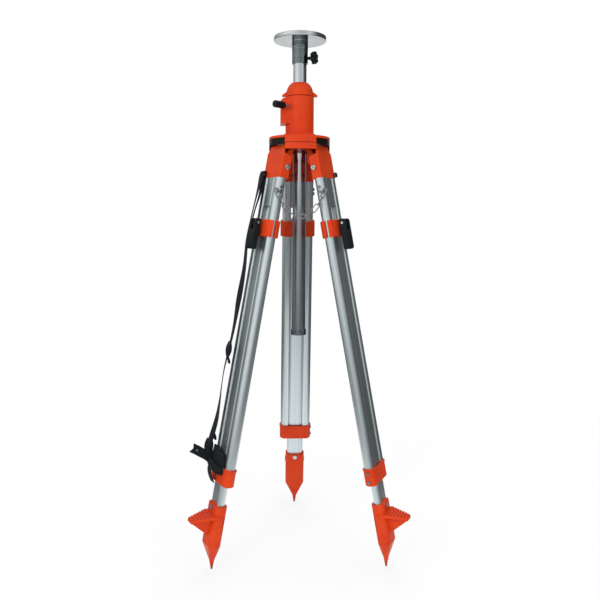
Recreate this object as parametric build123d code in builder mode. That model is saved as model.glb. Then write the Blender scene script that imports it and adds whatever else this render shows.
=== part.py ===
"""Elevating tripod: a geared column in a three-legged head, with sliding legs held by cam clamps.

Millimetres, +Z up. The origin is the ground mark under the column axis. The rear leg points
along +Y, and the left and right legs stand in front of it.
"""
from build123d import *
from math import acos, asin, asinh, atan, atan2, cos, cosh, degrees, hypot, pi
from math import radians, sin, sinh, sqrt, tan
import os

os.makedirs("parts", exist_ok=True)

# Clearances
running_gap = 0.05
seat_gap = 0.1
slide_gap = 0.3

# Stance, with the legs as photographed
foot_circle_radius = 232.0
pivot_circle_radius = 59.0
pivot_height = 924.0
spike_ball_radius = 2.5
leg_axis_offset = 6.0
spike_inset = 12.0
leg_azimuths = {"rear": 90, "left": 210, "right": 330}

# Column and what guides it
column_radius = 16.5
column_wall = 2.5
column_hang = 455.0
end_ring_height = 14.0
end_ring_wall = 2.2
bush_wall = 4.0
upper_bush_height = 15.0
lower_bush_height = 18.0

# Head castings
yoke_rise = 46.0
yoke_height = 20.0
hub_height = 20.0
housing_height = 111.0
housing_radius = 35.0
hub_radius = 40.0
hub_edge_fillet = 2.5
seam_chamfer = 1.2
neck_wall = 5.4
neck_height = 15.0
wing_radius = 75.0
wing_rise = -9.0
wing_pad_height = 14.5
wing_pad_inset = 1.5
wing_lip = 6.0
wing_lip_fillet = 1.5
wing_half_angle = 30.0
skirt_wall = 8.0
skirt_drop = 22.0
skirt_line_drop = 7.0
skirt_line_width = 1.2
skirt_line_depth = 0.8
lug_boss_radius = 11.0
lug_root_radius = 30.0
lug_root_drop = 30.0
yoke_screw_circle = 30.0
screw_radius = 2.0
screw_head_radius = 3.6
screw_head_height = 2.4
yoke_screw_length = 34.0

# Clamp nut and collet
nut_gap = 2.0
nut_rim_height = 5.0
nut_height = 33.0
nut_base_wall = 7.0
nut_top_wall = 4.5
nut_ear_reach = 43.5
nut_ear_half_width = 6.0
nut_ear_height = 11.0
collet_height = 30.0
collet_cone_start = 17.0
collet_top_wall = 1.8
collet_slit_width = 2.0
collet_slit_count = 4

# Rack, pinion and crank
gear_module = 1.5
gear_teeth = 16
pressure_angle = radians(20)
gear_backlash = 0.5
tooth_addendum = 0.9 * gear_module
tooth_dedendum = 1.25 * gear_module
gear_half_width = 4.2
rack_tip_inset = 0.9
rack_half_width = 4.5
rack_back = 8.0
rack_below = 460.0
rack_above = 70.0
pinion_drop = 46.0
shaft_radius = 5.0
shaft_front_depth = 22.0
gear_side_gap = 1.0
case_reach = 47.5
case_below = 21.0
case_above = 41.0
case_chamfer = 7.0
case_half_width = 27.0
cover_radius = 20.0
cover_seat = 36.0
cover_thickness = 4.0
cover_screw_circle = 17.0
cover_screw_count = 4
cover_screw_length = 12.0
crank_gap = 1.0
crank_arm_length = 42.0
crank_arm_width = 15.0
crank_arm_thickness = 6.0
grip_pin_radius = 4.0
grip_radius = 8.5
grip_length = 38.0
grip_pin_inset = 6.0
grip_groove_count = 3

# Column lock screw
lock_azimuth = 225.0
lock_drop = 26.0
lock_spindle_radius = 6.0
lock_spindle_grip = 10.0
lock_boss_radius = 10.5
lock_boss_end = 36.5
lock_knob_start = 57.0
lock_knob_end = 88.0
lock_knob_radius = 8.5
lock_knob_flutes = 10

# Head plate
plate_radius = 65.0
plate_thickness = 10.5
plate_edge_chamfer = 1.0
plate_boss_margin = 3.5
plate_boss_height = 22.0
plate_boss_wall = 1.5
plate_bore_depth = 20.0
sleeve_rise = 83.0
sleeve_height = 34.0
sleeve_inset = 0.4
sleeve_spigot_height = 18.0
set_screw_radius = 1.6
set_screw_azimuths = (235, 305)
stud_radius = 7.94
stud_projection = 14.0
stud_shoulder_radius = 9.5
stud_head_radius = 12.0
stud_head_height = 3.0
stud_chamfer = 1.5
star_rise = 12.5
star_azimuth = 335.0
star_start = 33.0
star_thickness = 10.0
star_core_radius = 10.5
star_lobe_radius = 5.0
star_lobe_count = 6
star_screw_radius = 4.0

# Upper leg
leg_width = 79.5
rail_depth = 24.0
rail_channel_half = 17.5
rail_outer_fillet = 11.0
rail_inner_fillet = 4.0
rail_wall = 2.3
tube_width = 43.0
tube_depth = 20.5
tube_wall = 1.8
cap_bottom = -27.0
cap_top = 54.0
cap_inner = 15.5
cap_outer = 10.5
cap_side_inset = 0.75
cap_floor = 13.0
cap_wall = 5.0
cap_shoulder_start = 32.0
cap_shoulder_inset = 4.5
cap_crest_wall = 4.0
cap_crest_half = 33.0
cap_crest_start = 43.0
cap_cheek_inner_top = 29.0
spigot_length = 40.0
spacer_bottom = -96.0
cross_screw_levels = (-49.0, -60.0)
cross_screw_radius = 2.5
cross_screw_head_radius = 4.2
cross_screw_head_height = 3.0
pivot_bolt_radius = 5.0
pivot_head_radius = 6.5
pivot_head_height = 5.0
pivot_socket_radius = 2.2
pivot_socket_depth = 3.0
collar_rise = 191.5
collar_height = 38.5
collar_floor = 5.0
collar_wall = 2.4
collar_lip = 1.0
collar_lip_height = 4.0
collar_screw_drops = (10.0, 29.0)
collar_screw_radius = 2.0
collar_screw_depth = 4.0
collar_screw_head_radius = 3.6
collar_screw_head_height = 2.0

# Lower leg
tube_top = -131.0
clamp_height = 40.0
jaw_wall = 5.0
jaw_starts = {1: 6.5, -1: 0.0}
jaw_tongue_half = 15.0
jaw_front_step = 1.0
jaw_front_half = 30.0
jaw_edge = 0.7
clamp_boss_half = 6.0
clamp_boss_reach = 19.0
clamp_boss_height = 22.0
clamp_bolt_radius = 4.0
clamp_bolt_reach = 8.0
clamp_bolt_head_radius = 7.0
clamp_bolt_head_height = 5.0
lever_pin_reach = 13.0
lever_pin_drop = 10.0
lever_pin_radius = 3.0
lever_half_width = 15.0
lever_gap = 7.0
lever_thickness = 14.0
lever_length = 74.0
lever_corner = 6.0
lever_slot_length = 27.0
foot_height = 144.0
foot_sleeve_width = 51.0
foot_sleeve_depth = 31.0
foot_socket_depth = 44.0
foot_sleeve_length = 89.0
foot_body_length = 36.5
spike_root_width = 11.5
spike_root_inset = 8.5
foot_rivet_drop = 7.0
foot_ear_height = 5.5
foot_ear_half_width = 14.0
foot_ear_top_half = 5.0
foot_rivet_radius = 3.5
foot_rivet_head_radius = 5.5
foot_rivet_head_height = 2.5
pedal_root_drop = 21.0
pedal_drop = 12.5
pedal_reach = 64.0
pedal_thickness = 6.0
pedal_half_width = 27.0
pedal_tip_half = 11.0
pedal_rib_count = 7
pedal_rib_width = 3.0
pedal_rib_height = 1.6
gusset_drop = 68.0
gusset_top_half = 11.0
gusset_bottom_half = 6.0
foot_slit_x = -9.0
foot_slit_width = 2.2
foot_slit_floor = 22.4
foot_slit_drop = 22.0
foot_slit_length = 38.0

# Chain between the front legs
chain_link_count = 9
chain_left_links = 5
chain_catenary = 33.0
chain_wire_radius = 1.2
chain_link_half_width = 5.0
chain_joint_reach = 1.6
chain_sides = {"left": 1, "right": -1}
chain_screw_level = -60.0
chain_screw_turn = 45
chain_screw_radius = 3.2
chain_screw_depth = 0.9
chain_screw_standoff = 9.7
chain_screw_head_radius = 5.5
chain_screw_head_height = 2.5
chain_hang = 7.3

# Carrying strap on the left leg: points are (distance out from the rails, share of the way down)
strap_side = -33.0
strap_half_width = 10.0
strap_top_drop = 1.0
strap_stud_sides = {"left": -1, "right": 1}
strap_stud_rise = 8.0
strap_stud_radius = 6.5
strap_stud_height = 5.0
strap_stud_shank_radius = 3.0
strap_stud_shank = 2.0
strap_thickness = 2.0
strap_points = (
    (1.2, 0), (9, 0.038), (15, 0.101), (18.5, 0.177), (18.5, 0.252), (16, 0.318), (14, 0.385),
    (14.5, 0.438), (16, 0.487), (15.5, 0.547), (14, 0.619), (16, 0.694), (17, 0.729), (16.5, 0.776),
    (15, 0.825), (15, 0.875), (16, 0.911), (18.5, 0.946), (22, 1),
)
strap_return_points = ((1.2, 0.002), (5.5, 0.048), (11, 0.113), (17.5, 0.184))
strap_end_gap = 0.3
strap_radius_share = 0.45
buckle_runs = (10, 17)
buckle_depth = 11.0
buckle_half_width = 14.0
buckle_length = 24.0
buckle_slot_depth = 5.0
buckle_slot_half_width = 10.6
tie_side = -2.0
tie_rise = 17.6
tie_half_width = 29.0
tie_half_height = 17.0
tie_corner = 14.0
tie_thickness = 5.0
tie_knot_start = 3.0
tie_knot_end = 26.0
tie_knot_depth = 12.0
tie_tail_half_width = 11.0
tie_tail_thickness = 4.0
tie_tail_root = (4.0, 14.0)
tie_tail_tip = (68.0, 36.0)

# Leg frames: x outwards from the leg, y round the column, z up along the leg
stance_run = foot_circle_radius - pivot_circle_radius
stance_rise = pivot_height - spike_ball_radius
pivot_to_tip = hypot(stance_run, stance_rise)
tip_offset = leg_axis_offset - spike_inset
leg_reach = sqrt(pivot_to_tip**2 - tip_offset**2)
leg_tilt = atan2(stance_run, stance_rise) - asin(tip_offset / pivot_to_tip)


def outward(azimuth):
    """Level unit vector away from the column at an azimuth in degrees."""
    return Vector(cos(radians(azimuth)), sin(radians(azimuth)), 0)


def leg_plane(azimuth):
    """Frame of a leg: origin on the leg's centre line, level with its pivot."""
    up = Vector(0, 0, 1)
    leg_x = outward(azimuth) * cos(leg_tilt) + up * sin(leg_tilt)
    leg_z = up * cos(leg_tilt) - outward(azimuth) * sin(leg_tilt)
    pivot = outward(azimuth) * pivot_circle_radius + up * pivot_height
    return Plane(origin=pivot + leg_x * leg_axis_offset, x_dir=leg_x, z_dir=leg_z)


def radial_plane(azimuth):
    """Upright plane through the column axis: x runs outwards and y runs up."""
    across = Vector(sin(radians(azimuth)), -cos(radians(azimuth)), 0)
    return Plane(origin=(0, 0, 0), x_dir=outward(azimuth), z_dir=across)


def along_x(x, y, z):
    """Plane at a point that faces +X."""
    return Plane(origin=(x, y, z), x_dir=(0, 1, 0), z_dir=(1, 0, 0))


def along_y(x, y, z):
    """Plane at a point that faces +Y."""
    return Plane(origin=(x, y, z), x_dir=(1, 0, 0), z_dir=(0, 1, 0))


def along_azimuth(azimuth, reach, height):
    """Plane that faces outwards at an azimuth, a distance from the column axis."""
    direction = outward(azimuth)
    return Plane(origin=direction * reach + Vector(0, 0, height), x_dir=(0, 0, 1), z_dir=direction)


def rod(plane, radius, length, mode=Mode.ADD):
    """Round rod that stands on a plane, added to or cut from the part in hand."""
    with Locations(plane):
        Cylinder(radius, length, align=(Align.CENTER, Align.CENTER, Align.MIN), mode=mode)


def keep(piece, label):
    """Labels a finished piece and writes its file."""
    piece.label = label
    export_step(piece, f"parts/{label}.step")


def keep_for_legs(piece, label):
    """Writes one copy of a leg piece for each leg, in place."""
    for leg, azimuth in leg_azimuths.items():
        keep(piece.moved(leg_plane(azimuth).location), f"{leg}_{label}")


# Heights of the head, the column and the plate, each from the one below
yoke_bottom = pivot_height + yoke_rise
seam_height = yoke_bottom + yoke_height
lug_root_bottom = yoke_bottom - lug_root_drop
hub_top = seam_height + hub_height
wing_bottom = seam_height + wing_rise
lip_bottom = wing_bottom + wing_pad_height
skirt_bottom = seam_height - skirt_drop
housing_top = seam_height + housing_height
nut_bottom = housing_top + nut_gap
lock_height = housing_top - lock_drop
pinion_height = housing_top - pinion_drop
case_bottom = pinion_height - case_below
case_top = pinion_height + case_above
rack_bottom = pinion_height - rack_below
rack_top = pinion_height + rack_above
column_bottom = yoke_bottom - column_hang
sleeve_bottom = housing_top + sleeve_rise
star_height = sleeve_bottom + star_rise
plate_boss_bottom = sleeve_bottom + sleeve_height
sleeve_spigot_top = plate_boss_bottom + sleeve_spigot_height
plate_underside = plate_boss_bottom + plate_boss_height

# Gear sizes that the housing, the rack and the pinion share
pitch_radius = gear_module * gear_teeth / 2
rack_pitch = pi * gear_module
gear_tip_radius = pitch_radius + tooth_addendum
gear_root_radius = pitch_radius - tooth_dedendum
rack_tip_x = -(column_radius - rack_tip_inset)
rack_pitch_x = rack_tip_x + tooth_addendum
rack_root_x = rack_pitch_x + tooth_dedendum
pinion_x = rack_pitch_x - pitch_radius
neck_top = housing_top + neck_height
bush_radius = column_radius + bush_wall
head_bore_radius = bush_radius + seat_gap
neck_radius = head_bore_radius + neck_wall
lug_half_width = rail_channel_half - slide_gap
gear_cavity_radius = gear_tip_radius + gear_side_gap
gear_cavity_half = gear_half_width + gear_side_gap

# Housing: cylinder, gear case, lock boss, neck for the nut, and a round lip over stop pads for the
# leg caps, with a skirt between the legs
with BuildPart() as housing:
    with BuildSketch(Plane.XY.offset(lip_bottom)):
        Circle(wing_radius)
    extrude(amount=wing_lip)
    fillet(housing.edges().group_by(Axis.Z)[-1], wing_lip_fillet)
    with BuildSketch(Plane.XY.offset(seam_height)):
        Circle(hub_radius)
    extrude(amount=hub_top - seam_height)
    fillet(housing.edges().group_by(Axis.Z)[-1], hub_edge_fillet)
    with BuildSketch(Plane.XY.offset(hub_top)):
        Circle(housing_radius)
    extrude(amount=housing_top - hub_top)
    with BuildSketch(Plane.XZ):
        Polygon(
            (0, case_bottom),
            (-case_reach, case_bottom),
            (-case_reach, case_top - case_chamfer),
            (-case_reach + case_chamfer, case_top),
            (0, case_top),
        )
    extrude(amount=case_half_width, both=True)
    rod(along_y(pinion_x, 0, pinion_height), cover_radius, cover_seat)
    lock_boss_length = lock_boss_end - bush_radius
    rod(along_azimuth(lock_azimuth, bush_radius, lock_height), lock_boss_radius, lock_boss_length)
    with BuildSketch(Plane.XY.offset(housing_top)):
        Circle(neck_radius)
    extrude(amount=neck_height)
    for azimuth in leg_azimuths.values():
        sector_start = outward(azimuth - wing_half_angle) * 2 * wing_radius
        sector_end = outward(azimuth + wing_half_angle) * 2 * wing_radius
        with BuildSketch(Plane.XY.offset(wing_bottom)):
            Circle(wing_radius - wing_pad_inset)
            Polygon(
                (0, 0),
                (sector_start.X, sector_start.Y),
                (sector_end.X, sector_end.Y),
                mode=Mode.INTERSECT,
            )
        extrude(amount=wing_pad_height)
        skirt_end = outward(azimuth + 120 - wing_half_angle) * 2 * wing_radius
        with BuildSketch(Plane.XY.offset(skirt_bottom)):
            Circle(wing_radius)
            Circle(wing_radius - skirt_wall, mode=Mode.SUBTRACT)
            Polygon((0, 0), (sector_end.X, sector_end.Y), (skirt_end.X, skirt_end.Y), mode=Mode.INTERSECT)
        extrude(amount=lip_bottom - skirt_bottom)
    with BuildSketch(Plane.XY.offset(seam_height - skirt_line_drop)):
        Circle(2 * wing_radius)
        Circle(wing_radius - skirt_line_depth, mode=Mode.SUBTRACT)
    extrude(amount=skirt_line_width, mode=Mode.SUBTRACT)
    with BuildSketch(Plane.XY.offset(wing_bottom)):
        Circle(hub_radius + slide_gap)
    extrude(amount=seam_height - wing_bottom, mode=Mode.SUBTRACT)
    with BuildSketch(Plane.XY.offset(seam_height)):
        Circle(head_bore_radius)
    extrude(amount=neck_top - seam_height, mode=Mode.SUBTRACT)
    cavity_start = along_y(pinion_x, -gear_cavity_half, pinion_height)
    rod(cavity_start, gear_cavity_radius, 2 * cover_seat, Mode.SUBTRACT)
    shaft_start = along_y(pinion_x, -shaft_front_depth, pinion_height)
    rod(shaft_start, shaft_radius + running_gap, cover_seat, Mode.SUBTRACT)
    lock_start = along_azimuth(lock_azimuth, 0, lock_height)
    rod(lock_start, lock_spindle_radius + running_gap, lock_knob_end, Mode.SUBTRACT)
    with Locations(along_y(pinion_x, cover_seat, pinion_height)):
        with PolarLocations(cover_screw_circle, cover_screw_count, start_angle=45):
            Cylinder(screw_radius + seat_gap, 2 * cover_screw_length, mode=Mode.SUBTRACT)
    with Locations(Plane.XY.offset(seam_height)):
        with PolarLocations(yoke_screw_circle, 3, start_angle=30):
            Cylinder(screw_radius + seat_gap, 2 * (yoke_screw_length - yoke_height), mode=Mode.SUBTRACT)
keep(housing.part, "housing")

# Leg yoke: the ring under the housing, with a lug for each leg
with BuildPart() as leg_yoke:
    with BuildSketch(Plane.XY.offset(yoke_bottom)):
        Circle(hub_radius)
    extrude(amount=seam_height - yoke_bottom)
    chamfer(leg_yoke.edges().group_by(Axis.Z)[-1], seam_chamfer)
    for azimuth in leg_azimuths.values():
        with BuildSketch(radial_plane(azimuth)):
            with Locations((pivot_circle_radius, pivot_height)):
                Circle(lug_boss_radius)
            Polygon(
                (lug_root_radius, lug_root_bottom),
                (hub_radius, lug_root_bottom),
                (hub_radius, yoke_bottom),
                (lug_root_radius, yoke_bottom),
            )
            make_hull()
        extrude(amount=lug_half_width, both=True)
    for azimuth in leg_azimuths.values():
        with Locations(leg_plane(azimuth)):
            with Locations(along_y(-leg_axis_offset, 0, 0)):
                Cylinder(pivot_bolt_radius + running_gap, 3 * lug_half_width, mode=Mode.SUBTRACT)
    with BuildSketch(Plane.XY.offset(lug_root_bottom)):
        Circle(head_bore_radius)
    extrude(amount=seam_height - lug_root_bottom, mode=Mode.SUBTRACT)
    with Locations(Plane.XY.offset(yoke_bottom)):
        with PolarLocations(yoke_screw_circle, 3, start_angle=30):
            Cylinder(screw_radius + seat_gap, 3 * yoke_screw_length, mode=Mode.SUBTRACT)
keep(leg_yoke.part, "leg_yoke")

# Screws of the yoke and the gear cover
cover_face = cover_seat + cover_thickness
with BuildPart() as head_screws:
    with PolarLocations(yoke_screw_circle, 3, start_angle=30):
        with Locations((0, 0, yoke_bottom)):
            Cylinder(screw_radius, yoke_screw_length, align=(Align.CENTER, Align.CENTER, Align.MIN))
            Cylinder(screw_head_radius, screw_head_height, align=(Align.CENTER, Align.CENTER, Align.MAX))
    with Locations(along_y(pinion_x, cover_face, pinion_height)):
        with PolarLocations(cover_screw_circle, cover_screw_count, start_angle=45):
            Cylinder(screw_radius, cover_screw_length, align=(Align.CENTER, Align.CENTER, Align.MAX))
            Cylinder(screw_head_radius, screw_head_height, align=(Align.CENTER, Align.CENTER, Align.MIN))
keep(head_screws.part, "head_screws")

# Bushes that guide the column
with BuildPart() as column_bushes:
    bush_heights = {housing_top - upper_bush_height: upper_bush_height, yoke_bottom: lower_bush_height}
    for bush_bottom, bush_height in bush_heights.items():
        with BuildSketch(Plane.XY.offset(bush_bottom)):
            Circle(bush_radius)
            Circle(column_radius + running_gap, mode=Mode.SUBTRACT)
        extrude(amount=bush_height)
keep(column_bushes.part, "column_bushes")

# Gear cover: a disc behind the pinion with a plug that holds the shaft
with BuildPart() as gear_cover:
    rod(along_y(pinion_x, cover_seat, pinion_height), cover_radius, cover_thickness)
    rod(
        along_y(pinion_x, gear_cavity_half, pinion_height),
        gear_cavity_radius - seat_gap,
        cover_seat - gear_cavity_half,
    )
    rod(along_y(pinion_x, 0, pinion_height), shaft_radius + running_gap, 2 * cover_seat, Mode.SUBTRACT)
    with BuildSketch(Plane.XY.offset(case_bottom)):
        Circle(head_bore_radius)
    extrude(amount=case_top - case_bottom, mode=Mode.SUBTRACT)
    with Locations(along_y(pinion_x, cover_seat, pinion_height)):
        with PolarLocations(cover_screw_circle, cover_screw_count, start_angle=45):
            Cylinder(screw_radius + seat_gap, 2 * cover_seat, mode=Mode.SUBTRACT)
keep(gear_cover.part, "gear_cover")

# Collet: a slit ring that the nut's cone squeezes on to the column
collet_top = housing_top + collet_height
collet_top_radius = column_radius + collet_top_wall
with BuildPart() as clamp_collet:
    with BuildSketch(Plane.XZ):
        collet_bore = column_radius + slide_gap
        collet_radius = bush_radius - slide_gap
        Polygon(
            (collet_bore, housing_top),
            (collet_radius, housing_top),
            (collet_radius, housing_top + collet_cone_start),
            (collet_top_radius, collet_top),
            (collet_bore, collet_top),
        )
    revolve(axis=Axis.Z)
    with Locations((0, 0, collet_top)):
        for slit in range(collet_slit_count):
            with Locations(Rotation(0, 0, 45 + slit * 360 / collet_slit_count)):
                Box(
                    2 * bush_radius,
                    collet_slit_width,
                    2 * (collet_height - upper_bush_height / 2),
                    align=(Align.MIN, Align.CENTER, Align.CENTER),
                    mode=Mode.SUBTRACT,
                )
keep(clamp_collet.part, "clamp_collet")

# Clamp nut: a dome with two ears that screws on to the housing's neck
nut_top = nut_bottom + nut_height
nut_rim_top = nut_bottom + nut_rim_height
nut_base_radius = neck_radius + nut_base_wall
nut_top_radius = column_radius + nut_top_wall
cone_clearance = slide_gap + seat_gap
with BuildPart() as clamp_nut:
    with BuildSketch(Plane.XZ):
        with BuildLine():
            Polyline(
                (nut_base_radius, nut_rim_top),
                (nut_base_radius, nut_bottom),
                (neck_radius + slide_gap, nut_bottom),
                (neck_radius + slide_gap, neck_top + 1),
                (collet_radius + 2 * cone_clearance, neck_top + 1),
                (collet_top_radius + cone_clearance, collet_top + 1),
                (column_radius + cone_clearance, nut_top),
                (nut_top_radius, nut_top),
            )
            RadiusArc((nut_base_radius, nut_rim_top), (nut_top_radius, nut_top), -nut_base_radius)
        make_face()
    revolve(axis=Axis.Z)
    with BuildSketch(Plane.XZ):
        for side in (1, -1):
            Polygon(
                (side * (neck_radius + 2), nut_bottom),
                (side * nut_ear_reach, nut_bottom),
                (side * nut_ear_reach, nut_bottom + nut_ear_height / 3),
                (side * nut_base_radius, nut_bottom + nut_ear_height),
                (side * (neck_radius + 2), nut_bottom + nut_ear_height),
            )
    extrude(amount=nut_ear_half_width, both=True)
keep(clamp_nut.part, "clamp_nut")

# Lock screw: a bright spindle through the housing wall, with a fluted black knob
with BuildPart() as lock_spindle:
    spindle_start = column_radius + slide_gap
    rod(
        along_azimuth(lock_azimuth, spindle_start, lock_height),
        lock_spindle_radius,
        lock_knob_start + lock_spindle_grip - spindle_start,
    )
keep(lock_spindle.part, "lock_spindle")

with BuildPart() as lock_knob:
    knob_start = along_azimuth(lock_azimuth, lock_knob_start, lock_height)
    rod(knob_start, lock_knob_radius, lock_knob_end - lock_knob_start)
    fillet(lock_knob.edges().filter_by(GeomType.CIRCLE), lock_knob_radius / 6)
    with Locations(along_azimuth(lock_azimuth, lock_knob_start + 3, lock_height)):
        with PolarLocations(lock_knob_radius + 0.6, lock_knob_flutes):
            Cylinder(1.3, lock_knob_end, align=(Align.CENTER, Align.CENTER, Align.MIN), mode=Mode.SUBTRACT)
    rod(knob_start, lock_spindle_radius + seat_gap, lock_spindle_grip, Mode.SUBTRACT)
keep(lock_knob.part, "lock_knob")


# Pinion with its shaft: involute teeth, one of them facing the rack
def tooth_half_angle(radius):
    """Half the angle that a pinion tooth fills at a radius."""
    base_radius = pitch_radius * cos(pressure_angle)
    angle_there = acos(min(1, base_radius / radius))
    pitch_half = (rack_pitch / 2 - gear_backlash) / 2 / pitch_radius
    return pitch_half + tan(pressure_angle) - pressure_angle - tan(angle_there) + angle_there


with BuildPart() as pinion_shaft:
    with BuildSketch(along_y(pinion_x, -gear_half_width, pinion_height)):
        Circle(gear_root_radius + 0.2)
        flank_radii = (gear_root_radius, pitch_radius * cos(pressure_angle), pitch_radius, gear_tip_radius)
        upper_flank = [(r * cos(tooth_half_angle(r)), r * sin(tooth_half_angle(r))) for r in flank_radii]
        lower_flank = [(x, -y) for x, y in reversed(upper_flank)]
        with PolarLocations(0, gear_teeth):
            Polygon(*upper_flank, *lower_flank)
    extrude(amount=2 * gear_half_width)
    crank_face = cover_face + screw_head_height + crank_gap
    rod(
        along_y(pinion_x, -shaft_front_depth + gear_side_gap, pinion_height),
        shaft_radius,
        crank_face + crank_arm_thickness + shaft_front_depth - gear_side_gap,
    )
keep(pinion_shaft.part, "pinion_shaft")

# Crank: an arm on the shaft with a pin for the grip
with BuildPart() as crank_arm:
    with BuildSketch(along_y(pinion_x, crank_face, pinion_height)):
        with Locations((0, -crank_arm_length / 2)):
            SlotCenterToCenter(crank_arm_length, crank_arm_width, rotation=90)
        Circle(shaft_radius + seat_gap, mode=Mode.SUBTRACT)
    extrude(amount=crank_arm_thickness)
    rod(
        along_y(pinion_x, crank_face, pinion_height + crank_arm_length),
        grip_pin_radius,
        crank_arm_thickness + grip_length - grip_pin_inset,
    )
keep(crank_arm.part, "crank_arm")

with BuildPart() as crank_grip:
    grip_face = crank_face + crank_arm_thickness + slide_gap
    rod(along_y(pinion_x, grip_face, pinion_height + crank_arm_length), grip_radius, grip_length)
    fillet(crank_grip.edges().filter_by(GeomType.CIRCLE), grip_radius / 4)
    for groove in range(grip_groove_count):
        groove_y = grip_face + (groove + 1) * grip_length / (grip_groove_count + 1)
        with Locations(along_y(pinion_x, groove_y, pinion_height + crank_arm_length)):
            Torus(grip_radius + 0.6, 1.4, mode=Mode.SUBTRACT)
    rod(
        along_y(pinion_x, grip_face, pinion_height + crank_arm_length),
        grip_pin_radius + running_gap,
        grip_length - grip_pin_inset / 2,
        Mode.SUBTRACT,
    )
keep(crank_grip.part, "crank_grip")

# Column tube, slotted on its left side for the rack; the head of the instrument stud rests on its top
plate_bore_top = plate_boss_bottom + plate_bore_depth
column_top = plate_bore_top - stud_head_height
with BuildPart() as column_tube:
    with BuildSketch(Plane.XY.offset(column_bottom)):
        Circle(column_radius)
        Circle(column_radius - column_wall, mode=Mode.SUBTRACT)
    extrude(amount=column_top - column_bottom)
    with Locations((-rack_back, 0, (rack_bottom + rack_top) / 2)):
        Box(
            column_radius,
            2 * (rack_half_width + seat_gap),
            rack_top - rack_bottom,
            align=(Align.MAX, Align.CENTER, Align.CENTER),
            mode=Mode.SUBTRACT,
        )
keep(column_tube.part, "column_tube")

# Rack: a toothed bar let into the column
tooth_pitch_half = (rack_pitch / 2 - gear_backlash) / 2
tooth_tip_half = tooth_pitch_half - tooth_addendum * tan(pressure_angle)
tooth_root_half = tooth_pitch_half + tooth_dedendum * tan(pressure_angle)
first_tooth = int((rack_bottom - pinion_height) / rack_pitch)
last_tooth = int((rack_top - pinion_height) / rack_pitch)
with BuildPart() as column_rack:
    with BuildSketch(Plane.XZ):
        outline = [(-rack_back, rack_top), (-rack_back, rack_bottom), (rack_root_x, rack_bottom)]
        for tooth in range(first_tooth, last_tooth):
            tooth_z = pinion_height + (tooth + 0.5) * rack_pitch
            outline.append((rack_root_x, tooth_z - tooth_root_half))
            outline.append((rack_tip_x, tooth_z - tooth_tip_half))
            outline.append((rack_tip_x, tooth_z + tooth_tip_half))
            outline.append((rack_root_x, tooth_z + tooth_root_half))
        outline.append((rack_root_x, rack_top))
        Polygon(*outline)
    extrude(amount=rack_half_width, both=True)
keep(column_rack.part, "column_rack")

# End ring: stops the column under the yoke
with BuildPart() as column_end_ring:
    with BuildSketch(Plane.XY.offset(column_bottom)):
        Circle(column_radius + end_ring_wall)
        Circle(column_radius + seat_gap, mode=Mode.SUBTRACT)
    extrude(amount=end_ring_height)
    ring_edges = column_end_ring.edges().filter_by(GeomType.CIRCLE).sort_by(SortBy.RADIUS)
    chamfer(ring_edges[-2:], end_ring_wall / 3)
keep(column_end_ring.part, "column_end_ring")

# Head plate with its boss
plate_top = plate_underside + plate_thickness
plate_boss_radius = column_radius + plate_boss_margin
boss_bore_radius = plate_boss_radius - plate_boss_wall
with BuildPart() as head_plate:
    with BuildSketch(Plane.XY.offset(plate_underside)):
        Circle(plate_radius)
    extrude(amount=plate_thickness)
    chamfer(head_plate.edges().filter_by(GeomType.CIRCLE), plate_edge_chamfer)
    with BuildSketch(Plane.XY.offset(plate_boss_bottom)):
        Circle(plate_boss_radius)
    extrude(amount=plate_underside - plate_boss_bottom)
    with BuildSketch(Plane.XY.offset(plate_boss_bottom)):
        Circle(boss_bore_radius)
    extrude(amount=plate_bore_depth, mode=Mode.SUBTRACT)
    with BuildSketch(Plane.XY.offset(plate_boss_bottom)):
        Circle(stud_shoulder_radius + seat_gap)
    extrude(amount=plate_top - plate_boss_bottom, mode=Mode.SUBTRACT)
    for azimuth in set_screw_azimuths:
        set_screw_plane = along_azimuth(azimuth, column_radius, (plate_boss_bottom + plate_underside) / 2)
        rod(set_screw_plane, set_screw_radius, plate_boss_radius, Mode.SUBTRACT)
keep(head_plate.part, "head_plate")

# Plate sleeve: turns on the column, with a spigot up into the plate's boss
with BuildPart() as plate_sleeve:
    with BuildSketch(Plane.XY.offset(sleeve_bottom)):
        Circle(plate_boss_radius - sleeve_inset)
    extrude(amount=plate_boss_bottom - sleeve_bottom)
    with BuildSketch(Plane.XY.offset(plate_boss_bottom)):
        Circle(boss_bore_radius - seat_gap)
    extrude(amount=sleeve_spigot_top - plate_boss_bottom)
    with BuildSketch(Plane.XY.offset(sleeve_bottom)):
        Circle(column_radius + running_gap)
    extrude(amount=sleeve_spigot_top - sleeve_bottom, mode=Mode.SUBTRACT)
    star_hole = along_azimuth(star_azimuth, 0, star_height)
    rod(star_hole, star_screw_radius + running_gap, star_start, Mode.SUBTRACT)
keep(plate_sleeve.part, "plate_sleeve")

# Instrument stud, held under the plate by its head
with BuildPart() as instrument_stud:
    with BuildSketch(Plane.XY.offset(plate_bore_top - stud_head_height)):
        Circle(stud_head_radius)
    extrude(amount=stud_head_height)
    with BuildSketch(Plane.XY.offset(plate_bore_top)):
        Circle(stud_shoulder_radius)
    extrude(amount=plate_top - plate_bore_top)
    with BuildSketch(Plane.XY.offset(plate_top)):
        Circle(stud_radius)
    extrude(amount=stud_projection)
    chamfer(instrument_stud.faces().sort_by(Axis.Z)[-1].edges(), stud_chamfer)
keep(instrument_stud.part, "instrument_stud")

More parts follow.
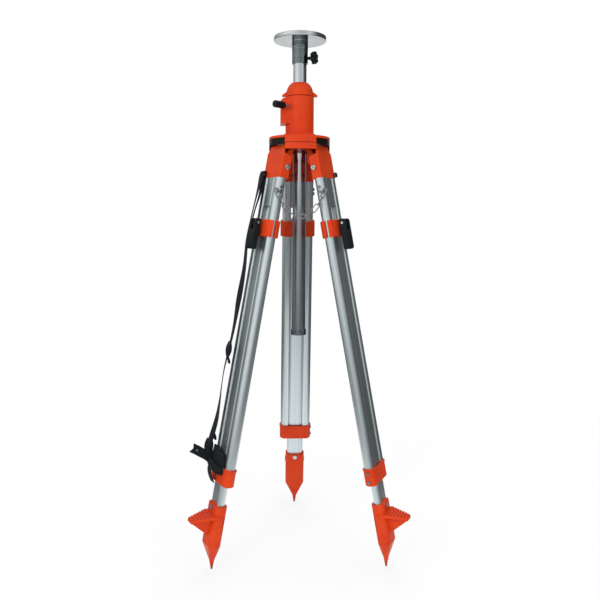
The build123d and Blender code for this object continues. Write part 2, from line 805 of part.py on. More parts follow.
# Star knob with its screw
with BuildPart() as star_knob:
    with BuildSketch(along_azimuth(star_azimuth, star_start, star_height)):
        Circle(star_core_radius)
        with PolarLocations(star_core_radius, star_lobe_count):
            Circle(star_lobe_radius)
    extrude(amount=star_thickness)
    star_screw_start = column_radius + slide_gap
    star_screw = along_azimuth(star_azimuth, star_screw_start, star_height)
    rod(star_screw, star_screw_radius, star_start - star_screw_start)
keep(star_knob.part, "star_knob")

# Sizes that the leg pieces share
rail_width = leg_width / 2 - rail_channel_half
cap_half_width = leg_width / 2 - cap_side_inset
rail_middle = rail_channel_half + rail_width / 2
tube_end_radius = tube_depth / 2
tube_end_middle = tube_width / 2 - tube_end_radius
groove_radius = tube_end_radius + slide_gap
core_start = tube_end_middle + groove_radius + rail_wall
core_width = leg_width / 2 - rail_wall - core_start
core_depth = rail_depth - 2 * rail_wall
core_corner = min(core_width, core_depth) * 0.4
core_middle = core_start + core_width / 2
collar_bottom = -leg_reach + collar_rise
collar_top = collar_bottom + collar_height
collar_screw_levels = [collar_top - drop for drop in collar_screw_drops]
rail_bottom = collar_bottom + collar_floor
foot_top = -leg_reach + foot_height


def leg_contour(margin):
    """Outline round both rails, wider all round by a margin."""
    RectangleRounded(rail_depth + 2 * margin, leg_width + 2 * margin, rail_outer_fillet + margin)


def cross_holes(levels, radius, length=2 * leg_width):
    """Holes across the leg at some levels, right through or from one side only."""
    for level in levels:
        rod(along_y(0, -leg_width, level), radius + seat_gap, length, Mode.SUBTRACT)


def chain_screw_plane(side, reach):
    """Plane that faces out of a rail's outer corner, a distance from the middle of its curve."""
    turn = radians(chain_screw_turn)
    facing = Vector(cos(turn), side * sin(turn), 0)
    middle = Vector(rail_depth / 2, side * leg_width / 2, chain_screw_level)
    middle -= Vector(1, side, 0) * rail_outer_fillet
    return Plane(origin=middle + facing * reach, x_dir=(0, 0, 1), z_dir=facing)


# Leg rails: two hollow profiles, each grooved for the sliding tube
with BuildPart() as leg_rails:
    with BuildSketch(Plane.XY.offset(rail_bottom)) as rail_section:
        with Locations((0, rail_middle)):
            Rectangle(rail_depth, rail_width)
        fillet(rail_section.vertices().group_by(Axis.Y)[-1], rail_outer_fillet)
        fillet(rail_section.vertices().group_by(Axis.Y)[0], rail_inner_fillet)
        with Locations((0, tube_end_middle)):
            Circle(groove_radius, mode=Mode.SUBTRACT)
        with Locations((0, core_middle)):
            RectangleRounded(core_depth, core_width, core_corner, mode=Mode.SUBTRACT)
        mirror(about=Plane.XZ)
    extrude(amount=cap_bottom - rail_bottom)
    cross_holes(cross_screw_levels, cross_screw_radius)
    cross_holes(collar_screw_levels, collar_screw_radius, leg_width)
for leg, azimuth in leg_azimuths.items():
    with BuildPart() as drilled_rails:
        add(leg_rails.part)
        if leg in chain_sides:
            chain_hole = chain_screw_plane(chain_sides[leg], 0)
            rod(chain_hole, chain_screw_radius + seat_gap, leg_width, Mode.SUBTRACT)
    keep(drilled_rails.part.moved(leg_plane(azimuth).location), f"{leg}_leg_rails")

# Leg cap: a clevis for the yoke's lug, with a spigot down into each rail
cap_shoulder_x = cap_outer - cap_shoulder_inset
slot_wall_x = cap_outer - cap_wall
cap_crest_x = cap_shoulder_x - cap_crest_wall
with BuildPart() as leg_cap:
    with BuildSketch(Plane.XZ):
        Polygon(
            (-cap_inner, cap_bottom),
            (cap_outer, cap_bottom),
            (cap_outer, cap_shoulder_start),
            (cap_shoulder_x, cap_top),
            (cap_crest_x, cap_top),
            (slot_wall_x, cap_shoulder_start),
            (-cap_inner, cap_cheek_inner_top),
        )
    extrude(amount=cap_half_width, both=True)
    with BuildSketch(Plane.XZ):
        Polygon(
            (-2 * cap_inner, cap_bottom + cap_floor),
            (slot_wall_x, cap_bottom + cap_floor),
            (slot_wall_x, cap_shoulder_start),
            (cap_crest_x, cap_top),
            (-2 * cap_inner, cap_top),
        )
    extrude(amount=rail_channel_half, both=True, mode=Mode.SUBTRACT)
    with BuildSketch(Plane.YZ.offset(-cap_inner)):
        for side in (1, -1):
            Polygon(
                (side * cap_half_width, cap_shoulder_start),
                (side * cap_crest_half, cap_crest_start),
                (side * cap_crest_half, cap_top),
                (side * 2 * cap_half_width, cap_top),
                (side * 2 * cap_half_width, cap_shoulder_start),
            )
    extrude(amount=2 * (cap_inner + cap_outer), mode=Mode.SUBTRACT)
    fillet(leg_cap.edges().filter_by(Axis.Z).group_by(Axis.Y)[-1], 3)
    fillet(leg_cap.edges().filter_by(Axis.Z).group_by(Axis.Y)[0], 3)
    with BuildSketch(Plane.XY.offset(cap_bottom)):
        with Locations((0, core_middle), (0, -core_middle)):
            RectangleRounded(core_depth - 2 * seat_gap, core_width - 2 * seat_gap, core_corner)
    extrude(amount=-spigot_length)
    cross_holes(cross_screw_levels, cross_screw_radius)
    rod(
        along_y(-leg_axis_offset, -leg_width, 0),
        pivot_bolt_radius + seat_gap,
        2 * leg_width,
        Mode.SUBTRACT,
    )
keep_for_legs(leg_cap.part, "leg_cap")

# Spacer: an offcut of the lower tube between the rails under the cap
with BuildPart() as rail_spacer:
    with BuildSketch(Plane.XY.offset(spacer_bottom)):
        SlotOverall(tube_width, tube_depth, rotation=90)
        SlotOverall(tube_width - 2 * tube_wall, tube_depth - 2 * tube_wall, rotation=90, mode=Mode.SUBTRACT)
    extrude(amount=cap_bottom - spacer_bottom)
    cross_holes(cross_screw_levels, cross_screw_radius)
keep_for_legs(rail_spacer.part, "rail_spacer")

# Screws of the upper leg: across the rails, into the collar's side, for the chain and the strap
screw_head_start = leg_width / 2
collar_face = leg_width / 2 + collar_wall
for leg, azimuth in leg_azimuths.items():
    with BuildPart() as leg_screws:
        for level in cross_screw_levels:
            far_head_start = -screw_head_start - cross_screw_head_height
            rod(along_y(0, -screw_head_start, level), cross_screw_radius, 2 * screw_head_start)
            rod(along_y(0, screw_head_start, level), cross_screw_head_radius, cross_screw_head_height)
            rod(along_y(0, far_head_start, level), cross_screw_head_radius, cross_screw_head_height)
        for level in collar_screw_levels:
            rod(along_y(0, -collar_face, level), collar_screw_radius, collar_screw_depth)
            collar_head_start = -collar_face - collar_screw_head_height
            rod(along_y(0, collar_head_start, level), collar_screw_head_radius, collar_screw_head_height)
        if leg in chain_sides:
            chain_shank = chain_screw_plane(chain_sides[leg], rail_outer_fillet - chain_screw_depth)
            chain_shank_length = chain_screw_depth + chain_screw_standoff
            rod(chain_shank, chain_screw_radius, chain_shank_length)
            rod(chain_shank.offset(chain_shank_length), chain_screw_head_radius, chain_screw_head_height)
        if leg in strap_stud_sides:
            stud_y = strap_stud_sides[leg] * -strap_side
            stud_z = cap_bottom + strap_stud_rise
            rod(along_x(cap_outer, stud_y, stud_z), strap_stud_shank_radius, strap_stud_shank)
            rod(along_x(cap_outer + strap_stud_shank, stud_y, stud_z), strap_stud_radius, strap_stud_height)
    keep(leg_screws.part.moved(leg_plane(azimuth).location), f"{leg}_leg_screws")

# Pivot bolt: through the cap's cheeks and the yoke's lug
with BuildPart() as pivot_bolt:
    rod(along_y(-leg_axis_offset, -cap_half_width, 0), pivot_bolt_radius, 2 * cap_half_width)
    rod(along_y(-leg_axis_offset, cap_half_width, 0), pivot_head_radius, pivot_head_height)
    near_head = along_y(-leg_axis_offset, -cap_half_width - pivot_head_height, 0)
    rod(near_head, pivot_head_radius, pivot_head_height)
    head_faces = pivot_bolt.faces().filter_by(GeomType.PLANE).sort_by(Axis.Y)
    chamfer(head_faces[0].edges() + head_faces[-1].edges(), pivot_head_height / 3)
    for side in (1, -1):
        socket_y = side * (cap_half_width + pivot_head_height)
        with Locations(along_y(-leg_axis_offset, socket_y, 0)):
            Cylinder(pivot_socket_radius, 2 * pivot_socket_depth, mode=Mode.SUBTRACT)
keep_for_legs(pivot_bolt.part, "pivot_bolt")

# Lower collar: closes the rails and guides the lower tube
with BuildPart() as lower_collar:
    with BuildSketch(Plane.XY.offset(collar_bottom)):
        leg_contour(collar_wall)
    extrude(amount=collar_top - collar_bottom)
    chamfer(lower_collar.faces().sort_by(Axis.Z)[0].edges(), collar_wall)
    with BuildSketch(Plane.XY.offset(collar_top - collar_lip_height)):
        leg_contour(collar_wall + collar_lip)
    extrude(amount=collar_lip_height)
    with BuildSketch(Plane.XY.offset(rail_bottom)):
        leg_contour(seat_gap)
    extrude(amount=collar_top - rail_bottom, mode=Mode.SUBTRACT)
    with BuildSketch(Plane.XY.offset(collar_bottom)):
        SlotOverall(tube_width + 2 * slide_gap, tube_depth + 2 * slide_gap, rotation=90)
    extrude(amount=collar_floor, mode=Mode.SUBTRACT)
    cross_holes(collar_screw_levels, collar_screw_radius, leg_width)
keep_for_legs(lower_collar.part, "lower_collar")

# Lower tube, from the clamp down into the foot
clamp_bottom = tube_top - clamp_height
jaw_front = rail_depth / 2 + jaw_wall + jaw_front_step
clamp_boss_front = jaw_front + clamp_boss_reach
clamp_bolt_end = jaw_front + clamp_bolt_reach
lever_pin_x = jaw_front + lever_pin_reach
lever_inner = jaw_front + lever_gap
lever_outer = lever_inner + lever_thickness
lever_pin_z = tube_top - lever_pin_drop
clamp_bolt_z = tube_top - clamp_height / 2
foot_rivet_z = foot_top - foot_rivet_drop
tube_bottom = foot_top - foot_socket_depth
with BuildPart() as lower_tube:
    with BuildSketch(Plane.XY.offset(tube_bottom)):
        SlotOverall(tube_width, tube_depth, rotation=90)
        SlotOverall(tube_width - 2 * tube_wall, tube_depth - 2 * tube_wall, rotation=90, mode=Mode.SUBTRACT)
    extrude(amount=tube_top - tube_bottom)
    rod(along_x(-tube_depth, 0, clamp_bolt_z), clamp_bolt_radius + seat_gap, 2 * tube_depth, Mode.SUBTRACT)
    rod(along_x(-tube_depth, 0, foot_rivet_z), foot_rivet_radius + seat_gap, 2 * tube_depth, Mode.SUBTRACT)
keep_for_legs(lower_tube.part, "lower_tube")


def jaw_section(side):
    """Half of the clamp's band, on the outer (1) or inner (-1) side of the rails."""
    leg_contour(jaw_wall)
    leg_contour_hole = RectangleRounded(
        rail_depth + 2 * slide_gap,
        leg_width + 2 * slide_gap,
        rail_outer_fillet + slide_gap,
        mode=Mode.SUBTRACT,
    )
    with Locations((side * (jaw_starts[side] - leg_contour_hole.width), 0)):
        Rectangle(2 * leg_contour_hole.width, 2 * leg_width, mode=Mode.SUBTRACT)
    tongue_reach = rail_depth / 2 + jaw_wall / 2 - tube_end_radius
    with Locations((side * (tube_end_radius + tongue_reach / 2), 0)):
        Rectangle(tongue_reach, 2 * jaw_tongue_half)


# Outer jaw: carries the boss that the lever turns on
with BuildPart() as outer_jaw:
    with BuildSketch(Plane.XY.offset(clamp_bottom)):
        jaw_section(1)
        front_start = rail_depth / 2 + jaw_wall / 2
        with Locations(((front_start + jaw_front) / 2, 0)):
            Rectangle(jaw_front - front_start, 2 * jaw_front_half)
    extrude(amount=clamp_height)
    front_rim = outer_jaw.edges().group_by(Axis.X)[-1]
    fillet(front_rim, jaw_edge)
    with BuildSketch(Plane.XZ):
        Polygon(
            (front_start, tube_top),
            (clamp_boss_front - lever_corner, tube_top),
            (clamp_boss_front, tube_top - lever_corner),
            (clamp_boss_front, tube_top - clamp_boss_height + lever_corner),
            (clamp_boss_front - lever_corner, tube_top - clamp_boss_height),
            (front_start, tube_top - clamp_boss_height),
        )
    extrude(amount=clamp_boss_half, both=True)
    rod(along_x(0, 0, clamp_bolt_z), clamp_bolt_radius + seat_gap, clamp_bolt_end, Mode.SUBTRACT)
    rod(
        along_y(lever_pin_x, -lever_half_width, lever_pin_z),
        lever_pin_radius + seat_gap,
        2 * lever_half_width,
        Mode.SUBTRACT,
    )
keep_for_legs(outer_jaw.part, "outer_jaw")

# Inner jaw
with BuildPart() as inner_jaw:
    with BuildSketch(Plane.XY.offset(clamp_bottom)):
        jaw_section(-1)
    extrude(amount=clamp_height)
    bolt_hole = along_x(-2 * rail_depth, 0, clamp_bolt_z)
    rod(bolt_hole, clamp_bolt_radius + seat_gap, 2 * rail_depth, Mode.SUBTRACT)
keep_for_legs(inner_jaw.part, "inner_jaw")

# Pins of the lower leg: clamp bolt, lever pin and foot rivet
inner_jaw_face = -rail_depth / 2 - jaw_wall
foot_face = foot_sleeve_depth / 2
with BuildPart() as lower_pins:
    rod(along_x(inner_jaw_face, 0, clamp_bolt_z), clamp_bolt_radius, clamp_bolt_end - inner_jaw_face)
    rod(
        along_x(inner_jaw_face - clamp_bolt_head_height, 0, clamp_bolt_z),
        clamp_bolt_head_radius,
        clamp_bolt_head_height,
    )
    lever_pin_half = lever_half_width + slide_gap
    rod(along_y(lever_pin_x, -lever_pin_half, lever_pin_z), lever_pin_radius, 2 * lever_pin_half)
    rod(along_x(-foot_face, 0, foot_rivet_z), foot_rivet_radius, 2 * foot_face)
    rod(along_x(foot_face, 0, foot_rivet_z), foot_rivet_head_radius, foot_rivet_head_height)
    rod(
        along_x(-foot_face - foot_rivet_head_height, 0, foot_rivet_z),
        foot_rivet_head_radius,
        foot_rivet_head_height,
    )
keep_for_legs(lower_pins.part, "lower_pins")

# Clamp lever: a cam handle forked round the outer jaw's boss
with BuildPart() as clamp_lever:
    with BuildSketch(Plane.XZ):
        with Locations(((lever_inner + lever_outer) / 2, tube_top - lever_length / 2)):
            RectangleRounded(lever_outer - lever_inner, lever_length, lever_corner)
    extrude(amount=lever_half_width, both=True)
    with Locations((0, 0, tube_top)):
        Box(
            2 * lever_outer,
            2 * (clamp_boss_half + slide_gap),
            2 * lever_slot_length,
            mode=Mode.SUBTRACT,
        )
    rod(
        along_y(lever_pin_x, -2 * lever_half_width, lever_pin_z),
        lever_pin_radius + running_gap,
        4 * lever_half_width,
        Mode.SUBTRACT,
    )
keep_for_legs(clamp_lever.part, "clamp_lever")

# Foot: straight sleeve with a slit in each side, tapering body, spike with a rounded tip, and a
# ribbed pedal on a gusset
foot_body_top = foot_top - foot_sleeve_length
pedal_root = foot_top - pedal_root_drop
gusset_bottom = foot_top - gusset_drop
foot_body_bottom = foot_body_top - foot_body_length
pedal_slope = atan2(pedal_drop, pedal_reach - foot_face)
foot_wall = (foot_sleeve_depth - tube_depth) / 2
with BuildPart() as foot:
    with BuildSketch(Plane.XY.offset(foot_top)):
        RectangleRounded(foot_sleeve_depth, foot_sleeve_width, foot_sleeve_depth * 0.4)
    extrude(amount=-foot_sleeve_length)
    with BuildSketch(Plane.XY.offset(foot_body_top)):
        RectangleRounded(foot_sleeve_depth, foot_sleeve_width, foot_sleeve_depth * 0.4)
    with BuildSketch(Plane.XY.offset(foot_body_bottom)):
        with Locations((-spike_root_inset, 0)):
            RectangleRounded(spike_root_width, spike_root_width, spike_root_width * 0.4)
    with BuildSketch(Plane.XY.offset(-leg_reach)):
        with Locations((-spike_inset, 0)):
            RectangleRounded(1.6 * spike_ball_radius, 1.6 * spike_ball_radius, 0.64 * spike_ball_radius)
    loft(ruled=True)
    with Locations((-spike_inset, 0, -leg_reach)):
        Sphere(spike_ball_radius)
    with BuildSketch(along_x(foot_face, 0, 0)):
        Polygon(
            (-foot_ear_half_width, foot_top - foot_ear_height),
            (foot_ear_half_width, foot_top - foot_ear_height),
            (foot_ear_half_width, foot_top),
            (foot_ear_top_half, foot_top + foot_ear_height),
            (-foot_ear_top_half, foot_top + foot_ear_height),
            (-foot_ear_half_width, foot_top),
        )
    extrude(amount=-foot_wall)
    with BuildSketch(Plane.XZ):
        Polygon(
            (0, gusset_bottom),
            (foot_face, gusset_bottom),
            (pedal_reach - 2, pedal_root - pedal_drop - pedal_thickness),
            (pedal_reach - 2, pedal_root - pedal_drop - 1),
            (0, pedal_root - 1),
        )
    extrude(amount=gusset_top_half, both=True)
    with BuildSketch(along_x(foot_face, 0, 0)):
        for side in (1, -1):
            Polygon(
                (side * gusset_bottom_half, gusset_bottom),
                (side * 2 * gusset_top_half, gusset_bottom),
                (side * 2 * gusset_top_half, pedal_root - pedal_thickness),
                (side * gusset_top_half, pedal_root - pedal_thickness),
            )
    extrude(amount=pedal_reach, mode=Mode.SUBTRACT)
    with BuildSketch(Plane.XZ):
        Polygon(
            (0, pedal_root),
            (foot_face, pedal_root),
            (pedal_reach, pedal_root - pedal_drop),
            (pedal_reach, pedal_root - pedal_drop - pedal_thickness),
            (foot_face, pedal_root - pedal_thickness),
            (0, pedal_root - pedal_thickness),
        )
        for rib in range(pedal_rib_count):
            share = (rib + 0.6) / pedal_rib_count
            rib_x = foot_face + share * (pedal_reach - foot_face)
            with Locations((rib_x, pedal_root - share * pedal_drop)):
                Rectangle(pedal_rib_width, 2 * pedal_rib_height, rotation=-degrees(pedal_slope))
    extrude(amount=pedal_half_width, both=True)
    with BuildSketch(Plane.XY.offset(gusset_bottom)):
        for side in (1, -1):
            Polygon(
                (foot_face, side * pedal_half_width),
                (pedal_reach, side * pedal_tip_half),
                (2 * pedal_reach, side * pedal_tip_half),
                (2 * pedal_reach, side * 2 * pedal_half_width),
                (foot_face, side * 2 * pedal_half_width),
            )
    extrude(amount=gusset_drop, mode=Mode.SUBTRACT)
    with BuildSketch(Plane.XY.offset(foot_top)):
        SlotOverall(tube_width + 2 * seat_gap, tube_depth + 2 * seat_gap, rotation=90)
    extrude(amount=-foot_socket_depth, mode=Mode.SUBTRACT)
    with BuildSketch(Plane.XY.offset(foot_top - foot_slit_drop)):
        for side in (1, -1):
            with Locations((foot_slit_x, side * (foot_slit_floor + foot_sleeve_width / 2))):
                Rectangle(foot_slit_width, foot_sleeve_width)
    extrude(amount=-foot_slit_length, mode=Mode.SUBTRACT)
    rivet_hole = along_x(-2 * foot_face, 0, foot_rivet_z)
    rod(rivet_hole, foot_rivet_radius + seat_gap, 4 * foot_face, Mode.SUBTRACT)
keep_for_legs(foot.part, "foot")


# Chain: a catenary between the chain screws of the two front legs, an end link round each screw
left_leg_frame = leg_plane(leg_azimuths["left"])
chain_hang_plane = chain_screw_plane(chain_sides["left"], rail_outer_fillet + chain_hang)
left_screw = left_leg_frame.from_local_coords(chain_hang_plane.origin)
screw_turn = radians(chain_screw_turn)
left_screw_axis = left_leg_frame.x_dir * cos(screw_turn) + left_leg_frame.y_dir * sin(screw_turn)
end_slope = atan(sinh(left_screw.X / chain_catenary))
end_reach = chain_link_half_width - chain_joint_reach
left_end = left_screw + Vector(-cos(end_slope), 0, -sin(end_slope)) * end_reach
half_span = -left_end.X
half_length = chain_catenary * sqrt(cosh(half_span / chain_catenary) ** 2 - 1)
link_pitch = 2 * half_length / chain_link_count
chain_low = left_end.Z - chain_catenary * (cosh(half_span / chain_catenary) - 1)


def chain_joint(number):
    """Point where one link hangs in the next, counted from the left end."""
    run = -half_length + number * link_pitch
    across = chain_catenary * asinh(run / chain_catenary)
    drop = chain_catenary * (cosh(across / chain_catenary) - 1)
    return Vector(across, left_end.Y, chain_low + drop)


def chain_link_plane(number):
    """Frame of a link: origin at its middle, x along it, every second link turned a quarter."""
    start = chain_joint(number)
    finish = chain_joint(number + 1)
    along = (finish - start).normalized()
    normal = Vector(0, 1, 0)
    if number % 2:
        normal = along.cross(normal)
    if number in (0, chain_link_count - 1):
        screw_axis = left_screw_axis
        if number > 0:
            screw_axis = Vector(-screw_axis.X, screw_axis.Y, screw_axis.Z)
        normal = screw_axis - along * along.dot(screw_axis)
    return Plane(origin=(start + finish) * 0.5, x_dir=along, z_dir=normal)


link_straight_half = link_pitch / 2 + chain_joint_reach - chain_link_half_width
link_tip = link_straight_half + chain_link_half_width
link_groups = {
    "chain_left_half": range(0, chain_left_links),
    "chain_right_half": range(chain_left_links, chain_link_count),
}
for group_name, numbers in link_groups.items():
    with BuildPart() as chain_half:
        for number in numbers:
            frame = chain_link_plane(number)
            with BuildLine(frame) as link_path:
                for side in (1, -1):
                    wire_start = (-side * link_straight_half, side * chain_link_half_width)
                    wire_end = (side * link_straight_half, side * chain_link_half_width)
                    Line(wire_start, wire_end)
                    ThreePointArc(wire_end, (side * link_tip, 0), (wire_end[0], -wire_end[1]))
            with BuildSketch(Plane(origin=link_path.line @ 0, z_dir=link_path.line % 0)):
                Circle(chain_wire_radius)
            sweep()
    keep(chain_half.part, group_name)


# Carrying strap, its buckles and the tie strap, all on the left leg
def strap_radii(points):
    """Bend radius at each inner point: as large as its two runs allow."""
    radii = []
    for before, at, after in zip(points, points[1:], points[2:]):
        arriving = Vector(*at) - Vector(*before)
        leaving = Vector(*after) - Vector(*at)
        half_turn = radians(arriving.get_angle(leaving)) / 2
        radii.append(strap_radius_share * min(arriving.length, leaving.length) / tan(half_turn))
    return radii


left_frame = left_leg_frame.location
strap_plane = Plane.XZ.offset(-strap_side)
strap_end = collar_top + tie_rise + tie_half_height + strap_end_gap


def strap_line(points):
    """Route of a strap strand in the leg frame, from the cap down to the tie strap."""
    strap_top = cap_bottom - strap_top_drop
    run = strap_end - strap_top
    return [(rail_depth / 2 + out, strap_top + share * run) for out, share in points]


strap_route = strap_line(strap_points)
with BuildPart() as carrying_strap:
    for points in (strap_route, strap_line(strap_return_points)):
        with BuildSketch(strap_plane):
            with BuildLine():
                FilletPolyline(*points, radius=strap_radii(points))
            trace(line_width=strap_thickness)
        extrude(amount=strap_half_width, both=True)
keep(carrying_strap.part.moved(left_frame), "carrying_strap")

with BuildPart() as strap_buckles:
    for run in buckle_runs:
        (start_x, start_z), (end_x, end_z) = strap_route[run : run + 2]
        tilt = degrees(atan2(start_x - end_x, start_z - end_z))
        middle = ((start_x + end_x) / 2, strap_side, (start_z + end_z) / 2)
        with Locations(Location(middle, (0, tilt, 0))):
            Box(buckle_depth, 2 * buckle_half_width, buckle_length)
            Box(buckle_slot_depth, 2 * buckle_slot_half_width, 2 * buckle_length, mode=Mode.SUBTRACT)
keep(strap_buckles.part.moved(left_frame), "strap_buckles")

tie_back = rail_depth / 2 + slide_gap
tie_level = collar_top + tie_rise
with BuildPart() as tie_strap:
    with BuildSketch(along_x(tie_back, 0, 0)):
        with Locations((tie_side, tie_level)):
            RectangleRounded(2 * tie_half_width, 2 * tie_half_height, tie_corner)
    extrude(amount=tie_thickness)
    knot_middle = rail_depth / 2 + (tie_knot_start + tie_knot_end) / 2
    knot_side = tie_side - tie_half_width
    with BuildSketch(Plane.XZ.offset(-knot_side)):
        with Locations((knot_middle, tie_level)):
            RectangleRounded(tie_knot_end - tie_knot_start, 2 * tie_half_height, tie_corner / 2)
    extrude(amount=-tie_knot_depth)
    tail_rise = (Vector(*tie_tail_tip) - Vector(*tie_tail_root)).normalized()
    tail_side = Vector(-tail_rise.Y, tail_rise.X) * tie_tail_half_width
    with BuildSketch(Plane.XZ.offset(-knot_side - tie_knot_depth + tie_tail_thickness)):
        tail_corners = [
            Vector(*tie_tail_root) + tail_side,
            Vector(*tie_tail_tip) + tail_side,
            Vector(*tie_tail_tip) - tail_side,
            Vector(*tie_tail_root) - tail_side,
        ]
        Polygon(*[(corner.X + rail_depth / 2, corner.Y + collar_top) for corner in tail_corners])
    extrude(amount=-tie_tail_thickness)
keep(tie_strap.part.moved(left_frame), "tie_strap")

print("leg tilt in degrees", degrees(leg_tilt))
print("pinion axis x", pinion_x, "metres per radian", pitch_radius / 1000)
print("chain length", 2 * half_length, "lowest point", chain_low)
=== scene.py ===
"""Looks of the elevating tripod: finishes for its machined and cast pieces, and its chain and straps."""
import logging
import math
from contextlib import contextmanager
from dataclasses import dataclass
from enum import Enum
from typing import Callable, Iterator, Sequence

import bmesh
import bpy
from mathutils import Euler, Matrix, Vector


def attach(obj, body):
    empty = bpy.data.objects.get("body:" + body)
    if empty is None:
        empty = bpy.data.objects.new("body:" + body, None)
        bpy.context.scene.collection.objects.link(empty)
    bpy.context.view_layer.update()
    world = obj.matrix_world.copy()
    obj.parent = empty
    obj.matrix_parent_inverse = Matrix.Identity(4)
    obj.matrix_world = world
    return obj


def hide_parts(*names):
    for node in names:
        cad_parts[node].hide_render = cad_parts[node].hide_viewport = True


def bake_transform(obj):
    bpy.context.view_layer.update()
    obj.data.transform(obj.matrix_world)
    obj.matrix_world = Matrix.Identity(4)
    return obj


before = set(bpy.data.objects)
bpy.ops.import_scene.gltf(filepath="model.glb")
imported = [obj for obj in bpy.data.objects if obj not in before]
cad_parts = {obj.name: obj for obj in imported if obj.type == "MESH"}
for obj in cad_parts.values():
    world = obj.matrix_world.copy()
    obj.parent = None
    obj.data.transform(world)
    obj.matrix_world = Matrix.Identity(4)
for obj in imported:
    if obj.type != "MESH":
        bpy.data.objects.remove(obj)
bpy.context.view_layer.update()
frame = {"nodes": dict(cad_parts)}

LOG = logging.getLogger("tripod")
MM = 0.001
# A pattern of grains lies mostly between these two values.
GRAIN_LOW = 0.3
GRAIN_HIGH = 0.7
# How strongly a relief tilts the light, and how finely a rounded edge is worked out.
RELIEF_STRENGTH = 0.4
EDGE_SAMPLES = 4
# Vertices closer than these, in metres, lie at the same place, or are welded.
SAME_PLACE = 1e-5
WELD_GAP = 1e-6
# Share of a strap's thickness that its edges are rounded by.
STRAP_EDGE = 0.25

Piece = bpy.types.Object
Triple = tuple[float, float, float]
Inputs = dict[str | int, object]
# A node that feeds another stands for its first output.
Source = bpy.types.Node | bpy.types.NodeSocket
Colour = Source | str | tuple[float, float, float, float]


class LegName(Enum):
    """The three legs, each with its direction round the column in degrees."""

    REAR = 90
    LEFT = 210
    RIGHT = 330

    @property
    def prefix(self) -> str:
        """Start of the names of this leg's nodes and bodies."""
        return self.name.lower()


@dataclass(frozen=True)
class Stance:
    """Sizes in millimetres that place the legs, the same as in the model."""

    foot_circle_radius: float = 232.0
    pivot_circle_radius: float = 59.0
    pivot_height: float = 924.0
    spike_ball_radius: float = 2.5
    axis_offset: float = 6.0
    spike_inset: float = 12.0

    @property
    def tilt(self) -> float:
        """Lean of the legs from upright, in radians."""
        run = self.foot_circle_radius - self.pivot_circle_radius
        rise = self.pivot_height - self.spike_ball_radius
        tip_offset = self.axis_offset - self.spike_inset
        return math.atan2(run, rise) - math.asin(tip_offset / math.hypot(run, rise))

    def leg_matrix(self, leg: LegName) -> Matrix:
        """Frame of a leg: x outwards from it, y round the column, z up along it.

        Args:
            leg: Which leg.

        Returns:
            Matrix from the leg's own metres to the object's.
        """
        turn = math.radians(leg.value)
        out = Vector((math.cos(turn), math.sin(turn), 0.0))
        up = Vector((0.0, 0.0, 1.0))
        leg_x = out * math.cos(self.tilt) + up * math.sin(self.tilt)
        leg_z = up * math.cos(self.tilt) - out * math.sin(self.tilt)
        leg_y = leg_z.cross(leg_x)
        origin = out * self.pivot_circle_radius + up * self.pivot_height + leg_x * self.axis_offset
        matrix = Matrix((leg_x, leg_y, leg_z)).transposed().to_4x4()
        matrix.translation = origin * MM
        return matrix


STANCE = Stance()


def linear(hex_colour: str) -> tuple[float, float, float, float]:
    """Turns an sRGB hex colour into the linear colour that a shader reads.

    Args:
        hex_colour: Such as "#d2430f".

    Returns:
        Red, green, blue and an alpha of 1.
    """
    shares = [int(hex_colour[i : i + 2], 16) / 255 for i in (1, 3, 5)]
    values = [s / 12.92 if s <= 0.04045 else ((s + 0.055) / 1.055) ** 2.4 for s in shares]
    return (values[0], values[1], values[2], 1.0)


